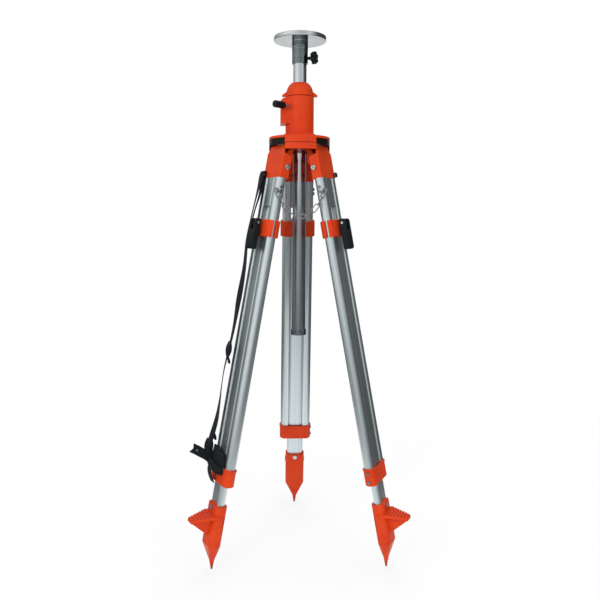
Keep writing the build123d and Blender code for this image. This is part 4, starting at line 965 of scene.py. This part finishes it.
@dataclass
class Studio:
    """Camera, lamps, paper floor and the walls that polished metal mirrors."""

    distance: float = 1.617
    eye_height: float = 0.8066
    orbit_degrees: float = 2.38
    roll_degrees: float = 0.31
    focal_px: float = 653.0
    frame_px: float = 600.0
    horizon_px: float = 216.6
    axis_px: float = 299.1
    sensor_mm: float = 36.0
    white: str = "#ffffff"
    paper: str = "#f4f4f4"
    floor_half: float = 3.0
    floor_level: float = -0.0005
    # Distances from the column over which the paper fades out for light, turns white for the camera
    # and darkens in the metal's mirror.
    paper_fade: tuple[float, float] = (0.6, 1.6)
    white_rise: tuple[float, float] = (0.4, 1.7)
    white_least: float = 0.8
    mirrored_fade: tuple[float, float] = (0.5, 1.6)
    mirrored_dark: str = "#4f4f4f"
    mirrored_shape: Triple = (2.0, 1.0, 1.0)
    # Brightness of the walls by their angle from the camera's side, left of it below 0: the lower
    # part, which the legs mirror, and the upper part, which the raised column mirrors.
    low_walls: tuple[tuple[float, float], ...] = (
        (-180, 0.82), (-156, 0.5), (-128, 0.1), (-114, 0.12), (-100, 0.5), (-80, 0.8), (-55, 1.0),
        (-20, 0.95), (0, 0.78), (20, 0.6), (50, 0.34), (80, 0.18), (108, 0.08), (128, 0.08), (156, 0.5),
        (180, 0.82),
    )
    high_walls: tuple[tuple[float, float], ...] = (
        (-180, 0.6), (-135, 0.4), (-117, 0.5), (-100, 0.65), (-85, 0.8), (-67, 1.0), (-48, 1.0),
        (-30, 0.9), (-12, 0.74), (5, 0.6), (22, 0.66), (40, 0.84), (52, 0.7), (62, 0.4), (80, 0.1),
        (110, 0.05), (145, 0.06), (180, 0.5),
    )
    # Slopes of sight between which one part of the room turns into the next.
    high_wall_slopes: tuple[float, float] = (0.17, 0.21)
    ceiling_slopes: tuple[float, float] = (0.4, 0.8)
    ceiling: float = 0.75
    lamp_target: Triple = (0.0, 0.0, 0.65)
    # Place, size in metres and power in watts of each lamp.
    lamps: tuple[tuple[str, Triple, float, float], ...] = (
        ("key_softbox", (-1.6, -2.5, 2.3), 1.6, 28.0),
        ("fill_softbox", (1.5, -2.6, 0.9), 1.6, 21.0),
        ("top_softbox", (0.2, 0.6, 3.2), 2.0, 36.0),
    )

    def build(self) -> None:
        """Makes the floor, the walls, the lamps and the camera."""
        self.make_floor()
        self.make_walls()
        self.make_lamps()
        self.make_camera()

    def make_floor(self) -> None:
        """Makes a white paper floor that keeps the object's shadow and fades into the walls."""
        spot = (0.0, 0.0, self.floor_level)
        size = 2 * self.floor_half
        floor = start_piece("paper_floor", bpy.ops.mesh.primitive_plane_add, size=size, location=spot)
        bpy.ops.object.transform_apply(location=True, rotation=True, scale=True)
        material = bpy.data.materials.new("matt_background_paper")
        nodes = Nodes.start(material)
        here = nodes.add("ShaderNodeTexCoord").outputs["Object"]
        stretched = {"operation": "MULTIPLY", 0: here, 1: self.mirrored_shape}
        away, mirrored_away = (
            nodes.add("ShaderNodeVectorMath", {"operation": "LENGTH", 0: point}).outputs["Value"]
            for point in (here, nodes.add("ShaderNodeVectorMath", stretched))
        )
        fades = (
            (away, self.paper_fade, 0.0),
            (mirrored_away, self.mirrored_fade, 0.0),
            (away, self.white_rise, self.white_least),
        )
        edge, mirrored_edge, white_share = (
            nodes.add(
                "ShaderNodeMapRange", {"Value": far, "From Min": start, "From Max": end, "To Min": least}
            )
            for far, (start, end), least in fades
        )
        paper = nodes.add("ShaderNodeBsdfDiffuse", {"Color": linear(self.paper)})
        beyond = nodes.add("ShaderNodeBsdfTransparent")
        white, dark = (
            nodes.add("ShaderNodeEmission", {"Color": linear(colour), "Strength": 1.0})
            for colour in (self.white, self.mirrored_dark)
        )
        # What lights the object, what its metal mirrors and what the camera sees.
        mixes = ((edge, paper, beyond), (mirrored_edge, white, dark), (white_share, paper, white))
        shown, mirrored, seen = (
            nodes.add("ShaderNodeMixShader", {0: share, 1: near, 2: far}) for share, near, far in mixes
        )
        rays = nodes.add("ShaderNodeLightPath").outputs
        for ray, other in (("Is Glossy Ray", mirrored), ("Is Camera Ray", seen)):
            shown = nodes.add("ShaderNodeMixShader", {0: rays[ray], 1: shown, 2: other})
        nodes.add("ShaderNodeOutputMaterial", {"Surface": shown})
        floor.data.materials.append(material)

    def make_walls(self) -> None:
        """Makes soft walls, bright and dark by turns, in front of which the camera sees plain white."""
        world = bpy.data.worlds.new("white_studio")
        bpy.context.scene.world = world
        nodes = Nodes.start(world)
        direction = nodes.add("ShaderNodeTexCoord").outputs["Generated"]
        parts = nodes.add("ShaderNodeSeparateXYZ", {"Vector": direction}).outputs
        forward = nodes.add("ShaderNodeMath", {"operation": "MULTIPLY", 0: parts["Y"], 1: -1.0})
        angle = nodes.add("ShaderNodeMath", {"operation": "ARCTAN2", 0: parts["X"], 1: forward})
        whole_turn = {"From Min": -math.pi, "From Max": math.pi, "Value": angle}
        turn = nodes.add("ShaderNodeMapRange", whole_turn)
        rows = []
        for walls in (self.low_walls, self.high_walls):
            panels = nodes.add("ShaderNodeValToRGB", {"Fac": turn})
            while len(panels.color_ramp.elements) < len(walls):
                panels.color_ramp.elements.new(0.5)
            for panel, (degrees, bright) in zip(panels.color_ramp.elements, walls):
                panel.position = (degrees + 180) / 360
                panel.color = (bright, bright, bright, 1.0)
            rows.append(panels)
        rows.append((self.ceiling, self.ceiling, self.ceiling, 1.0))
        room = rows[0]
        for (start, end), upper in zip((self.high_wall_slopes, self.ceiling_slopes), rows[1:]):
            slopes = {"From Min": start, "From Max": end, "Value": parts["Z"]}
            room = nodes.patch(nodes.add("ShaderNodeMapRange", slopes), room, upper)
        around, white = (
            nodes.add("ShaderNodeBackground", {"Color": colour, "Strength": 1.0})
            for colour in (room, linear(self.white))
        )
        to_camera = nodes.add("ShaderNodeLightPath").outputs["Is Camera Ray"]
        seen = nodes.add("ShaderNodeMixShader", {0: to_camera, 1: around, 2: white})
        nodes.add("ShaderNodeOutputWorld", {"Surface": seen})

    def make_lamps(self) -> None:
        """Makes a large key lamp at the upper left, a weak fill at the right and a top lamp.

        Polished metal mirrors the walls and not the lamps, which would burn out in it.
        """
        for name, spot, size, power in self.lamps:
            lamp = start_piece(name, bpy.ops.object.light_add, type="AREA", location=spot)
            lamp.data.size = size
            lamp.data.energy = power
            lamp.visible_glossy = False
            aim = Vector(self.lamp_target) - Vector(spot)
            lamp.rotation_euler = aim.to_track_quat("-Z", "Y").to_euler()

    def make_camera(self) -> None:
        """Makes a level camera at the photograph's place, with its framing as a shift."""
        orbit = math.radians(self.orbit_degrees)
        spot = (-self.distance * math.sin(orbit), -self.distance * math.cos(orbit), self.eye_height)
        camera = start_piece("camera", bpy.ops.object.camera_add, location=spot)
        camera.rotation_euler = Euler((math.radians(90.0), -math.radians(self.roll_degrees), -orbit))
        camera.data.sensor_fit = "HORIZONTAL"
        camera.data.sensor_width = self.sensor_mm
        camera.data.lens = self.sensor_mm * self.focal_px / self.frame_px
        camera.data.shift_x = (self.frame_px / 2 - self.axis_px) / self.frame_px
        camera.data.shift_y = (self.horizon_px - self.frame_px / 2) / self.frame_px
        bpy.context.scene.camera = camera
        bpy.context.scene.view_settings.view_transform = "Standard"


@dataclass
class Castings:
    """Orange castings of the head and the legs, the rails, and the fasteners in them."""

    coated: tuple[str, ...] = ("leg_yoke", "gear_cover", "clamp_nut")

    def dress(self) -> None:
        """Gives the castings, rails and fasteners their finishes."""
        nodes = frame["nodes"]
        HOUSING_COAT.dress(nodes["housing"])
        ORANGE_COAT.dress(*(nodes[name] for name in self.coated))
        ZINC.dress(nodes["head_screws"])
        for leg in LegName:
            finishes = (
                (ORANGE_COAT, ("leg_cap", "lower_collar", "inner_jaw")),
                (JAW_COAT[leg], ("outer_jaw",)),
                (ZINC, ("lower_pins", "pivot_bolt")),
                (GREY_ZINC, ("leg_screws",)),
                (LEG_METAL[leg], ("leg_rails", "rail_spacer", "lower_tube")),
                (FOOT_COAT, ("foot",)),
                (BLACK_NYLON, ("clamp_lever",)),
            )
            for finish, names in finishes:
                finish.dress(*(nodes[f"{leg.prefix}_{name}"] for name in names))
        LOG.info("castings, rails and fasteners dressed")


@dataclass
class Column:
    """Column, its gear and what it carries."""

    stud_core_mm: float = 6.9
    stud_radius_mm: float = 7.94
    shoulder_radius_mm: float = 9.5
    head_radius_mm: float = 12.0
    head_bottom_mm: float = 1235.0
    head_top_mm: float = 1238.0
    plate_top_mm: float = 1250.5
    stud_top_mm: float = 1264.5
    chamfer_mm: float = 1.5
    chamfer_inset_mm: float = 1.2
    thread_pitch_mm: float = 2.31
    thread_start_mm: float = 0.6
    thread_spare_mm: float = 2.5
    thread_root_mm: float = 0.1
    # Half the ridge's height at its root as a share of the pitch, and half its flat crest as a share
    # of that.
    thread_half_share: float = 0.46
    crest_share: float = 0.15
    thread_steps: int = 48

    def dress(self) -> None:
        """Gives the column, the gear and the plate their finishes."""
        nodes = frame["nodes"]
        CHROME.dress(nodes["column_tube"], nodes["lock_spindle"])
        GREY_ZINC.dress(nodes["column_end_ring"])
        TURNED.dress(nodes["head_plate"], nodes["plate_sleeve"])
        GEAR_STEEL.dress(nodes["column_rack"], nodes["pinion_shaft"], nodes["crank_arm"])
        BRONZE.dress(nodes["column_bushes"])
        WHITE_NYLON.dress(nodes["clamp_collet"])
        BLACK_NYLON.dress(nodes["lock_knob"], nodes["star_knob"], nodes["crank_grip"])
        LOG.info("column dressed")

    def build(self) -> None:
        """Models the instrument stud with its thread, in place of the plain one."""
        core = start_piece(
            "stud_core",
            bpy.ops.mesh.primitive_circle_add,
            vertices=64,
            radius=self.head_radius_mm * MM,
            location=(0, 0, self.head_bottom_mm * MM),
            fill_type="NGON",
        )
        bpy.ops.object.transform_apply(location=True, rotation=True, scale=True)
        steps = (
            (self.head_top_mm - self.head_bottom_mm, self.head_radius_mm),
            (0.0, self.shoulder_radius_mm),
            (self.plate_top_mm - self.head_top_mm, self.shoulder_radius_mm),
            (0.0, self.stud_core_mm),
            (self.stud_top_mm - self.plate_top_mm - self.chamfer_mm, self.stud_core_mm),
            (self.chamfer_mm, self.stud_core_mm - self.chamfer_inset_mm),
        )
        radius = self.head_radius_mm
        with editing(core):
            bpy.ops.mesh.select_all(action="SELECT")
            for rise, next_radius in steps:
                bpy.ops.mesh.extrude_region_move(TRANSFORM_OT_translate={"value": (0, 0, rise * MM)})
                share = next_radius / radius
                bpy.ops.transform.resize(value=(share, share, 1.0))
                radius = next_radius
            face_outward()
        stud = join([core, self.model_thread()], "threaded_instrument_stud")
        finish_piece(stud, ZINC, "instrument_head", "instrument_stud", degrees=40.0)

    def model_thread(self) -> Piece:
        """Models the ridge of the thread, drawn up round the stud by a screw modifier.

        Returns:
            The ridge, in place.
        """
        ridge = start_piece("stud_thread", bpy.ops.mesh.primitive_circle_add, vertices=4, radius=1.0)
        start = (self.plate_top_mm + self.thread_start_mm) * MM
        half = self.thread_half_share * self.thread_pitch_mm * MM
        inner = (self.stud_core_mm - self.thread_root_mm) * MM
        outer = self.stud_radius_mm * MM
        corners = (
            ((1, 0, 0), (outer, 0, start + half * (1 + self.crest_share))),
            ((0, 1, 0), (inner, 0, start + 2 * half)),
            ((-1, 0, 0), (inner, 0, start)),
            ((0, -1, 0), (outer, 0, start + half * (1 - self.crest_share))),
        )
        with editing(ridge):
            for here, target in corners:
                drag(ridge, Vector(here), Vector(target))
        height = self.stud_top_mm - self.plate_top_mm - self.thread_spare_mm
        apply_modifier(
            ridge,
            "SCREW",
            angle=2 * math.pi,
            screw_offset=self.thread_pitch_mm * MM,
            iterations=int(height / self.thread_pitch_mm),
            steps=self.thread_steps,
            render_steps=self.thread_steps,
            use_merge_vertices=True,
        )
        with editing(ridge):
            bpy.ops.mesh.select_all(action="SELECT")
            bpy.ops.mesh.remove_doubles(threshold=WELD_GAP)
            face_outward()
        return ridge


@dataclass
class LeverGrips:
    """Ridges on the outer face of each clamp lever, for the thumb."""

    face_x_mm: float = 38.8
    first_level_mm: float = -172.0
    spacing_mm: float = 6.0
    count: int = 5
    sizes_mm: Triple = (2.4, 22.0, 2.4)
    edge_mm: float = 0.9

    def build(self) -> None:
        """Models one ridge and copies it down each lever."""
        ridge = block("lever_ridge", self.sizes_mm)
        apply_modifier(ridge, "BEVEL", width=self.edge_mm * MM, segments=3)
        for leg in LegName:
            copies = []
            for number in range(self.count):
                level = self.first_level_mm - number * self.spacing_mm
                spot = Matrix.Translation(Vector((self.face_x_mm, 0.0, level)) * MM)
                copies.append(copy_piece(ridge, STANCE.leg_matrix(leg) @ spot))
            grip = join(copies, f"{leg.prefix}_lever_ridges")
            finish_piece(grip, BLACK_NYLON, f"{leg.prefix}_lever", None, degrees=50.0)
        bpy.data.objects.remove(ridge)


@dataclass
class Chain:
    """Steel chain that hangs between the two front legs, in two halves."""

    count: int = 9
    left_count: int = 5
    catenary_mm: float = 33.0
    wire_mm: float = 1.2
    half_width_mm: float = 5.0
    joint_reach_mm: float = 1.6
    corner_mm: tuple[float, float] = (1.0, 28.75)
    corner_turn_degrees: float = 45.0
    hang_mm: float = 18.3
    screw_level_mm: float = -60.0
    ring_steps: int = 22
    wire_steps: int = 10
    side_spare_mm: float = 0.7
    weld_share: float = 0.4
    weld_swelling: Triple = (1.0, 1.16, 1.22)

    def screw_axis(self) -> Vector:
        """Works out how the left leg's chain screw stands.

        Returns:
            Its direction, out of the corner of its rail.
        """
        turn = math.radians(self.corner_turn_degrees)
        turned = STANCE.leg_matrix(LegName.LEFT).to_3x3()
        return turned @ Vector((math.cos(turn), math.sin(turn), 0.0))

    def ends(self) -> tuple[Vector, float, float]:
        """Works out where the chain's curve ends.

        Returns:
            Left end of the catenary, half its length and its lowest level, in millimetres.
        """
        leg = STANCE.leg_matrix(LegName.LEFT)
        corner = (leg @ (Vector((*self.corner_mm, self.screw_level_mm)) * MM)) / MM
        screw = corner + self.screw_axis() * self.hang_mm
        slope = math.atan(math.sinh(screw.x / self.catenary_mm))
        reach = self.half_width_mm - self.joint_reach_mm
        end = screw + Vector((-math.cos(slope), 0.0, -math.sin(slope))) * reach
        stretch = math.cosh(end.x / self.catenary_mm)
        half_length = self.catenary_mm * math.sqrt(stretch**2 - 1)
        lowest = end.z - self.catenary_mm * (stretch - 1)
        return end, half_length, lowest

    def joint(self, number: int) -> Vector:
        """Works out a point where one link hangs in the next.

        Args:
            number: Number of the point, from 0 at the left end.

        Returns:
            The point, in millimetres.
        """
        end, half_length, lowest = self.ends()
        run = -half_length + number * 2 * half_length / self.count
        across = self.catenary_mm * math.asinh(run / self.catenary_mm)
        drop = self.catenary_mm * (math.cosh(across / self.catenary_mm) - 1)
        return Vector((across, end.y, lowest + drop))

    def link_matrix(self, number: int) -> Matrix:
        """Places a link: x along it, every second one turned a quarter, the end ones round their screws.

        Args:
            number: Number of the link, from 0 at the left end.

        Returns:
            Matrix from the link's own metres to the object's.
        """
        start, finish = self.joint(number), self.joint(number + 1)
        along = (finish - start).normalized()
        normal = Vector((0.0, 1.0, 0.0))
        if number % 2:
            normal = along.cross(normal)
        if number in (0, self.count - 1):
            axis = self.screw_axis()
            if number:
                axis = Vector((-axis.x, axis.y, axis.z))
            normal = (axis - along * along.dot(axis)).normalized()
        matrix = Matrix((along, normal.cross(along), normal)).transposed().to_4x4()
        matrix.translation = (start + finish) * 0.5 * MM
        return matrix

    def model_link(self) -> Piece:
        """Models one welded link: a ring drawn out along its length, with a swollen weld on one side.

        Returns:
            The link, round the origin with its length along x.
        """
        pitch = (self.joint(1) - self.joint(0)).length
        straight = (pitch / 2 + self.joint_reach_mm - self.half_width_mm) * MM
        half_width = self.half_width_mm * MM
        link = start_piece(
            "chain_link",
            bpy.ops.mesh.primitive_torus_add,
            major_radius=half_width,
            minor_radius=self.wire_mm * MM,
            major_segments=self.ring_steps,
            minor_segments=self.wire_steps,
        )
        with editing(link):
            for side in (1, -1):
                pick(link, lambda co: co.x * side > 0)
                bpy.ops.transform.translate(value=(side * straight, 0, 0))
            pick(link, lambda co: abs(co.x) < straight + self.side_spare_mm * MM and co.y > 0)
            bpy.ops.mesh.subdivide(number_cuts=2)
            pick(link, lambda co: abs(co.x) < self.weld_share * straight and co.y > 0)
            bpy.ops.transform.resize(value=self.weld_swelling, center_override=(0.0, half_width, 0.0))
        return link

    def build(self) -> None:
        """Copies the link along the catenary, in a half named for each front leg."""
        link = self.model_link()
        halves = (
            (LegName.LEFT, range(0, self.left_count), self.left_count - 1, 0),
            (LegName.RIGHT, range(self.left_count, self.count), self.left_count, self.count),
        )
        for leg, numbers, near, far in halves:
            half = join([copy_piece(link, self.link_matrix(n)) for n in numbers], f"{leg.prefix}_chain")
            node = f"chain_{leg.prefix}_half"
            finish_piece(half, CHAIN_ZINC, None, node, degrees=60.0)
            start, end = self.joint(near) * MM, self.joint(far) * MM
            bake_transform(half)
        bpy.data.objects.remove(link)


@dataclass
class LeftLegWebbing:
    """What the two straps on the left leg share: its frame, and how a finished piece is put there."""

    side_mm: float = -33.0
    rail_face_mm: float = 12.0
    body: str = "left_upper_leg"

    def put(
        self, piece: Piece, finish: Finish, slot: str, node: str | None = None, degrees: float = 60.0
    ) -> None:
        """Moves a piece from the leg's frame to the object's and hands it over.

        Args:
            piece: The piece, modelled in the leg's frame.
            finish: Its finish.
            slot: Name of a material slot; not used.
            node: Node that it stands for, if any.
            degrees: Edges sharper than this stay sharp.
        """
        place(piece, STANCE.leg_matrix(LegName.LEFT))
        finish_piece(piece, finish, self.body, node, degrees)


@dataclass
class CarryingStrap(LeftLegWebbing):
    """Carrying strap: folded over its stud, doubled at the top, twisting down to the collar."""

    half_width_mm: float = 10.0
    thickness_mm: float = 2.0
    top_mm: float = -28.0
    run_mm: float = 645.2
    # Rows of the strap: distance out from the rails, share of the way down, and twist in degrees.
    inner_rows: tuple[Triple, ...] = (
        (13.2, 0.205, 22), (11.6, 0.168, 23), (9.8, 0.125, 22), (4.8, 0.085, 20), (1.8, 0.045, 10),
        (1.6, 0.018, 3), (-0.4, 0.003, 0),
    )
    fold_rows: tuple[Triple, ...] = (
        (-0.5, -0.013, 0), (0.6, -0.023, 0), (3.2, -0.027, 0), (6.2, -0.023, 0), (7.6, -0.012, 0),
        (7.9, 0.004, 0),
    )
    outer_rows: tuple[Triple, ...] = (
        (9.8, 0.038, 14), (13.2, 0.101, 25), (16.8, 0.177, 24), (17.0, 0.252, 12), (10.5, 0.318, 10),
        (9.5, 0.385, 0), (9.8, 0.438, -9), (10.2, 0.487, -4), (9.2, 0.547, 11), (10.8, 0.619, 16),
        (15.0, 0.694, 22), (16.5, 0.729, 26), (15.5, 0.776, 27), (13.0, 0.825, 22), (12.0, 0.875, 12),
        (12.5, 0.911, 2), (16.0, 0.946, -3), (21.5, 1.01, -3),
    )
    adjuster_row: Triple = (13.2, 0.650, 14)
    adjuster_sizes_mm: Triple = (11.0, 25.0, 38.0)
    adjuster_ends: tuple[float, float] = (0.18, 0.18)
    buckle_row: Triple = (20.5, 0.998, 3)
    buckle_hook_row: Triple = (15.0, 0.925, 14)
    buckle_sizes_mm: Triple = (13.0, 26.0, 30.0)
    buckle_ends: tuple[float, float] = (0.5, 0.7)
    # Share of a fitting's width at its ends and halfway to them, and of its thickness that is added
    # halfway.
    end_width: float = 0.82
    shoulder_width: float = 0.96
    shoulder_swelling: float = 0.15
    slot_rim_mm: float = 1.4
    slot_depth_mm: float = 2.5
    fitting_edge_mm: float = 0.9
    # Loose ends hook back towards the leg: distance out from their row, and share of the way down.
    hook_route: tuple[tuple[float, float], ...] = (
        (1.0, 0.022), (-1.5, 0.03), (-4.5, 0.036), (-6.8, 0.044), (-6.6, 0.051),
    )
    adjuster_layers: float = 1.5
    buckle_layers: float = 2.6

    def row(self, out: float, share: float, twist: float) -> tuple[Vector, Vector]:
        """Works out one row of the strap in the leg's frame.

        Args:
            out: Distance out from the rails in millimetres.
            share: Share of the way down.
            twist: Turn of the strap about its length in degrees.

        Returns:
            Middle of the row and half its width, in metres.
        """
        middle = Vector((self.rail_face_mm + out, self.side_mm, self.top_mm - share * self.run_mm))
        turn = math.radians(twist)
        half = Vector((math.sin(turn), math.cos(turn), 0.0)) * self.half_width_mm
        return middle * MM, half * MM

    def build(self) -> None:
        """Models the strap, its adjuster, its lower buckle and its loose ends."""
        rows = [self.row(*row) for row in (*self.inner_rows, *self.fold_rows, *self.outer_rows)]
        strap = ribbon("carrying_webbing", rows, self.thickness_mm)
        self.put(strap, WEBBING, "black_webbing", "carrying_strap")
        fittings = (
            ("strap_adjuster", self.adjuster_row, self.adjuster_sizes_mm, self.adjuster_ends),
            ("strap_slide_buckle", self.buckle_row, self.buckle_sizes_mm, self.buckle_ends),
        )
        both = join([self.model_fitting(*fitting) for fitting in fittings], "strap_fittings")
        self.put(both, BLACK_NYLON, "black_plastic", "strap_buckles", degrees=40.0)
        hooks = []
        hooked = (
            (self.adjuster_row, self.adjuster_layers),
            (self.buckle_hook_row, self.buckle_layers),
        )
        for (out, share, twist), layers in hooked:
            route = [self.row(out + aside, share + down, twist) for aside, down in self.hook_route]
            hooks.append(ribbon("strap_loose_end", route, layers * self.thickness_mm))
        self.put(join(hooks, "strap_loose_ends"), WEBBING, "black_webbing")

    def model_fitting(
        self, name: str, row: Triple, sizes_mm: Triple, end_shares: Sequence[float]
    ) -> Piece:
        """Models a moulded slide: a block thinned towards its ends, with two slots for the webbing.

        Args:
            name: Name of the piece.
            row: Row of the strap that it sits on.
            sizes_mm: Size out of the strap, across it and along it.
            end_shares: Share of the thickness that is left at the upper and the lower end.

        Returns:
            The fitting, in the leg's frame.
        """
        depth, width, length = (size * MM for size in sizes_mm)
        fitting = block(name, sizes_mm)
        with editing(fitting):
            bpy.ops.mesh.select_all(action="SELECT")
            bpy.ops.mesh.subdivide(number_cuts=3)
            # Rows of vertices now lie at the middle, at a quarter and at half of each size.
            for end, share in zip((1, -1), end_shares):
                pick(fitting, lambda co: co.z * end > 0.4 * length)
                narrowed = (share, self.end_width, 1.0)
                bpy.ops.transform.resize(value=narrowed, center_override=(0, 0, 0))
                pick(fitting, lambda co: 0.2 * length < co.z * end < 0.3 * length)
                shoulder = ((1 + share) / 2 + self.shoulder_swelling, self.shoulder_width, 1.0)
                bpy.ops.transform.resize(value=shoulder, center_override=(0, 0, 0))
            for end in (1, -1):
                pick(
                    fitting,
                    lambda co: co.x > 0.3 * depth
                    and abs(co.y) < 0.3 * width
                    and -0.01 * length < co.z * end < 0.3 * length,
                )
                bpy.ops.mesh.inset(thickness=self.slot_rim_mm * MM, depth=-self.slot_depth_mm * MM)
        edge = self.fitting_edge_mm * MM
        apply_modifier(fitting, "BEVEL", width=edge, segments=2, limit_method="ANGLE")
        apply_modifier(fitting, "SUBSURF", levels=1, render_levels=1)
        twist = Matrix.Rotation(-math.radians(row[2]), 4, "Z")
        place(fitting, Matrix.Translation(self.row(*row)[0]) @ twist)
        return fitting


@dataclass
class TieStrap(LeftLegWebbing):
    """Strap that ties the legs together for carrying, bundled above the left leg's collar."""

    half_width_mm: float = 9.0
    thickness_mm: float = 2.4
    # Folds of the bundle: middle, sizes and corner radius. It is thin at the top, so that the
    # drawn-out leg's lever passes in front of it.
    folds: tuple[tuple[Triple, Triple, float], ...] = (
        ((18.0, -8.0, -692.0), (12.0, 50.0, 38.0), 5.5),
        ((25.5, -10.0, -708.0), (19.0, 46.0, 16.0), 7.0),
    )
    fold_slant_degrees: float = -18.0
    # Turns of webbing over the bundle: level, rise over turn_run_mm across the leg, and how much farther
    # out than their route they lie where that is turn_depth_mm off the rails.
    turns: tuple[Triple, ...] = ((-688.0, -9.0, 1.2), (-708.5, -7.0, 19.0), (-694.0, -9.0, 2.6))
    turn_run_mm: float = 30.0
    turn_depth_mm: float = 18.0
    # Route of a turn: distance out and place across the leg.
    turn_route_mm: tuple[tuple[float, float], ...] = (
        (12.6, -34.5), (17.0, -33.5), (21.0, -26.0), (22.0, -12.0), (21.8, 3.0), (20.5, 15.0),
        (17.0, 21.0), (12.6, 22.0),
    )
    loop_y_mm: float = -11.0
    # Loop that hangs down over the collar: distance out and level.
    loop_route_mm: tuple[tuple[float, float], ...] = (
        (20.0, -684.0), (21.5, -691.0), (25.0, -700.0), (31.0, -708.0), (33.0, -718.0), (29.5, -730.0),
        (23.0, -741.0), (18.0, -748.0),
    )
    tail_root_mm: Triple = (15.0, -24.0, -699.5)
    tail_tip_mm: tuple[float, float] = (80.0, -675.0)
    tail_root_share: float = 1.3
    tail_half_mm: float = 10.5
    tail_notch_mm: float = 5.0
    tail_layers: float = 1.4
    tail_wave_mm: Triple = (0.0, 0.8, 1.6)
    tail_crown_mm: float = 0.7
    rivet_share: float = 0.78
    rivet_radius_mm: float = 3.0
    rivet_stand_mm: float = 1.6
    # Steps of the rivet's dome: rise, and share of the last radius.
    rivet_steps: tuple[tuple[float, float], ...] = ((0.6, 0.96), (0.6, 0.8), (0.4, 0.5))

    def build(self) -> None:
        """Models the bundle with its turns, the hanging loop and the tail, and joins them."""
        slant = Matrix.Rotation(math.radians(self.fold_slant_degrees), 4, "X")
        pieces = []
        for middle, sizes, corner in self.folds:
            fold = block("tie_fold", sizes)
            apply_modifier(fold, "BEVEL", width=corner * MM, segments=4)
            place(fold, Matrix.Translation(Vector(middle) * MM) @ slant)
            apply_modifier(fold, "SUBSURF", levels=1, render_levels=1)
            pieces.append(fold)
        upright = Vector((0.0, 0.0, self.half_width_mm)) * MM
        for level, slope, lift in self.turns:
            rows = []
            for out, y in self.turn_route_mm:
                share = (out - self.rail_face_mm) / self.turn_depth_mm
                middle = Vector((out + lift * share, y, level + slope * y / self.turn_run_mm))
                rows.append((middle * MM, upright))
            pieces.append(ribbon("tie_turn", rows, self.thickness_mm))
        across = Vector((0.0, self.half_width_mm, 0.0)) * MM
        loop = [(Vector((out, self.loop_y_mm, level)) * MM, across) for out, level in self.loop_route_mm]
        pieces.append(ribbon("tie_loop", loop, self.thickness_mm))
        pieces.append(self.model_tail())
        self.put(join(pieces, "tie_webbing"), WEBBING, "black_webbing", "tie_strap")
        self.put(self.model_rivet(), GREY_ZINC, "bright_zinc_steel")

    def tail_matrix(self) -> Matrix:
        """Works out the frame of the tail: x along it from its root, y across it, z out of its face.

        Returns:
            Matrix from the tail's own metres to the leg's.
        """
        root = Vector(self.tail_root_mm)
        along = (Vector((self.tail_tip_mm[0], root.y, self.tail_tip_mm[1])) - root).normalized()
        face = Vector((0.0, 1.0, 0.0))
        matrix = Matrix((along, face.cross(along), face)).transposed().to_4x4()
        matrix.translation = root * MM
        return matrix

    def tail_length(self) -> float:
        """Works out the length of the tail.

        Returns:
            The length in metres.
        """
        run = self.tail_tip_mm[0] - self.tail_root_mm[0]
        rise = self.tail_tip_mm[1] - self.tail_root_mm[2]
        return math.hypot(run, rise) * MM

    def model_tail(self) -> Piece:
        """Models the stiff end of webbing with its notched tip, waving a little.

        Returns:
            The tail, in the leg's frame.
        """
        length = self.tail_length()
        tail = start_piece(
            "tie_tail", bpy.ops.mesh.primitive_grid_add, x_subdivisions=8, y_subdivisions=2, size=1.0
        )
        sizes = Matrix.Diagonal((length, 2 * self.tail_half_mm * MM, 1.0, 1.0))
        place(tail, Matrix.Translation((length / 2, 0, 0)) @ sizes)
        with editing(tail):
            pick(tail, lambda co: co.x > 0.99 * length and abs(co.y) < MM)
            bpy.ops.transform.translate(value=(-self.tail_notch_mm * MM, 0, 0))
            pick(tail, lambda co: co.x < 0.3 * length)
            bpy.ops.transform.resize(value=(1.0, self.tail_root_share, 1.0), center_override=(0, 0, 0))
            pick(tail, lambda co: 0.3 * length < co.x < 0.7 * length)
            bpy.ops.transform.translate(value=Vector(self.tail_wave_mm) * MM)
            pick(tail, lambda co: abs(co.y) < MM)
            bpy.ops.transform.translate(value=(0, 0, self.tail_crown_mm * MM))
        apply_modifier(tail, "SOLIDIFY", thickness=self.tail_layers * self.thickness_mm * MM, offset=0.0)
        edge = STRAP_EDGE * self.thickness_mm * MM
        apply_modifier(tail, "BEVEL", width=edge, segments=2, limit_method="ANGLE")
        apply_modifier(tail, "SUBSURF", levels=1, render_levels=1)
        place(tail, self.tail_matrix())
        return tail

    def model_rivet(self) -> Piece:
        """Models the domed rivet near the tail's tip.

        Returns:
            The rivet, in the leg's frame.
        """
        rivet = start_piece(
            "tie_rivet",
            bpy.ops.mesh.primitive_circle_add,
            vertices=24,
            radius=self.rivet_radius_mm * MM,
            fill_type="NGON",
        )
        with editing(rivet):
            bpy.ops.mesh.select_all(action="SELECT")
            for rise, share in self.rivet_steps:
                bpy.ops.mesh.extrude_region_move(TRANSFORM_OT_translate={"value": (0, 0, rise * MM)})
                bpy.ops.transform.resize(value=(share, share, 1.0))
            face_outward()
        spot = (self.rivet_share * self.tail_length(), 0, self.rivet_stand_mm * MM)
        place(rivet, self.tail_matrix() @ Matrix.Translation(spot))
        return rivet


def main() -> None:
    """Builds the studio and the pieces."""
    logging.basicConfig(level=logging.INFO)
    Studio().build()
    Castings().dress()
    column = Column()
    column.dress()
    column.build()
    LeverGrips().build()
    Chain().build()
    CarryingStrap().build()
    TieStrap().build()


if __name__ == "__main__":
    main()
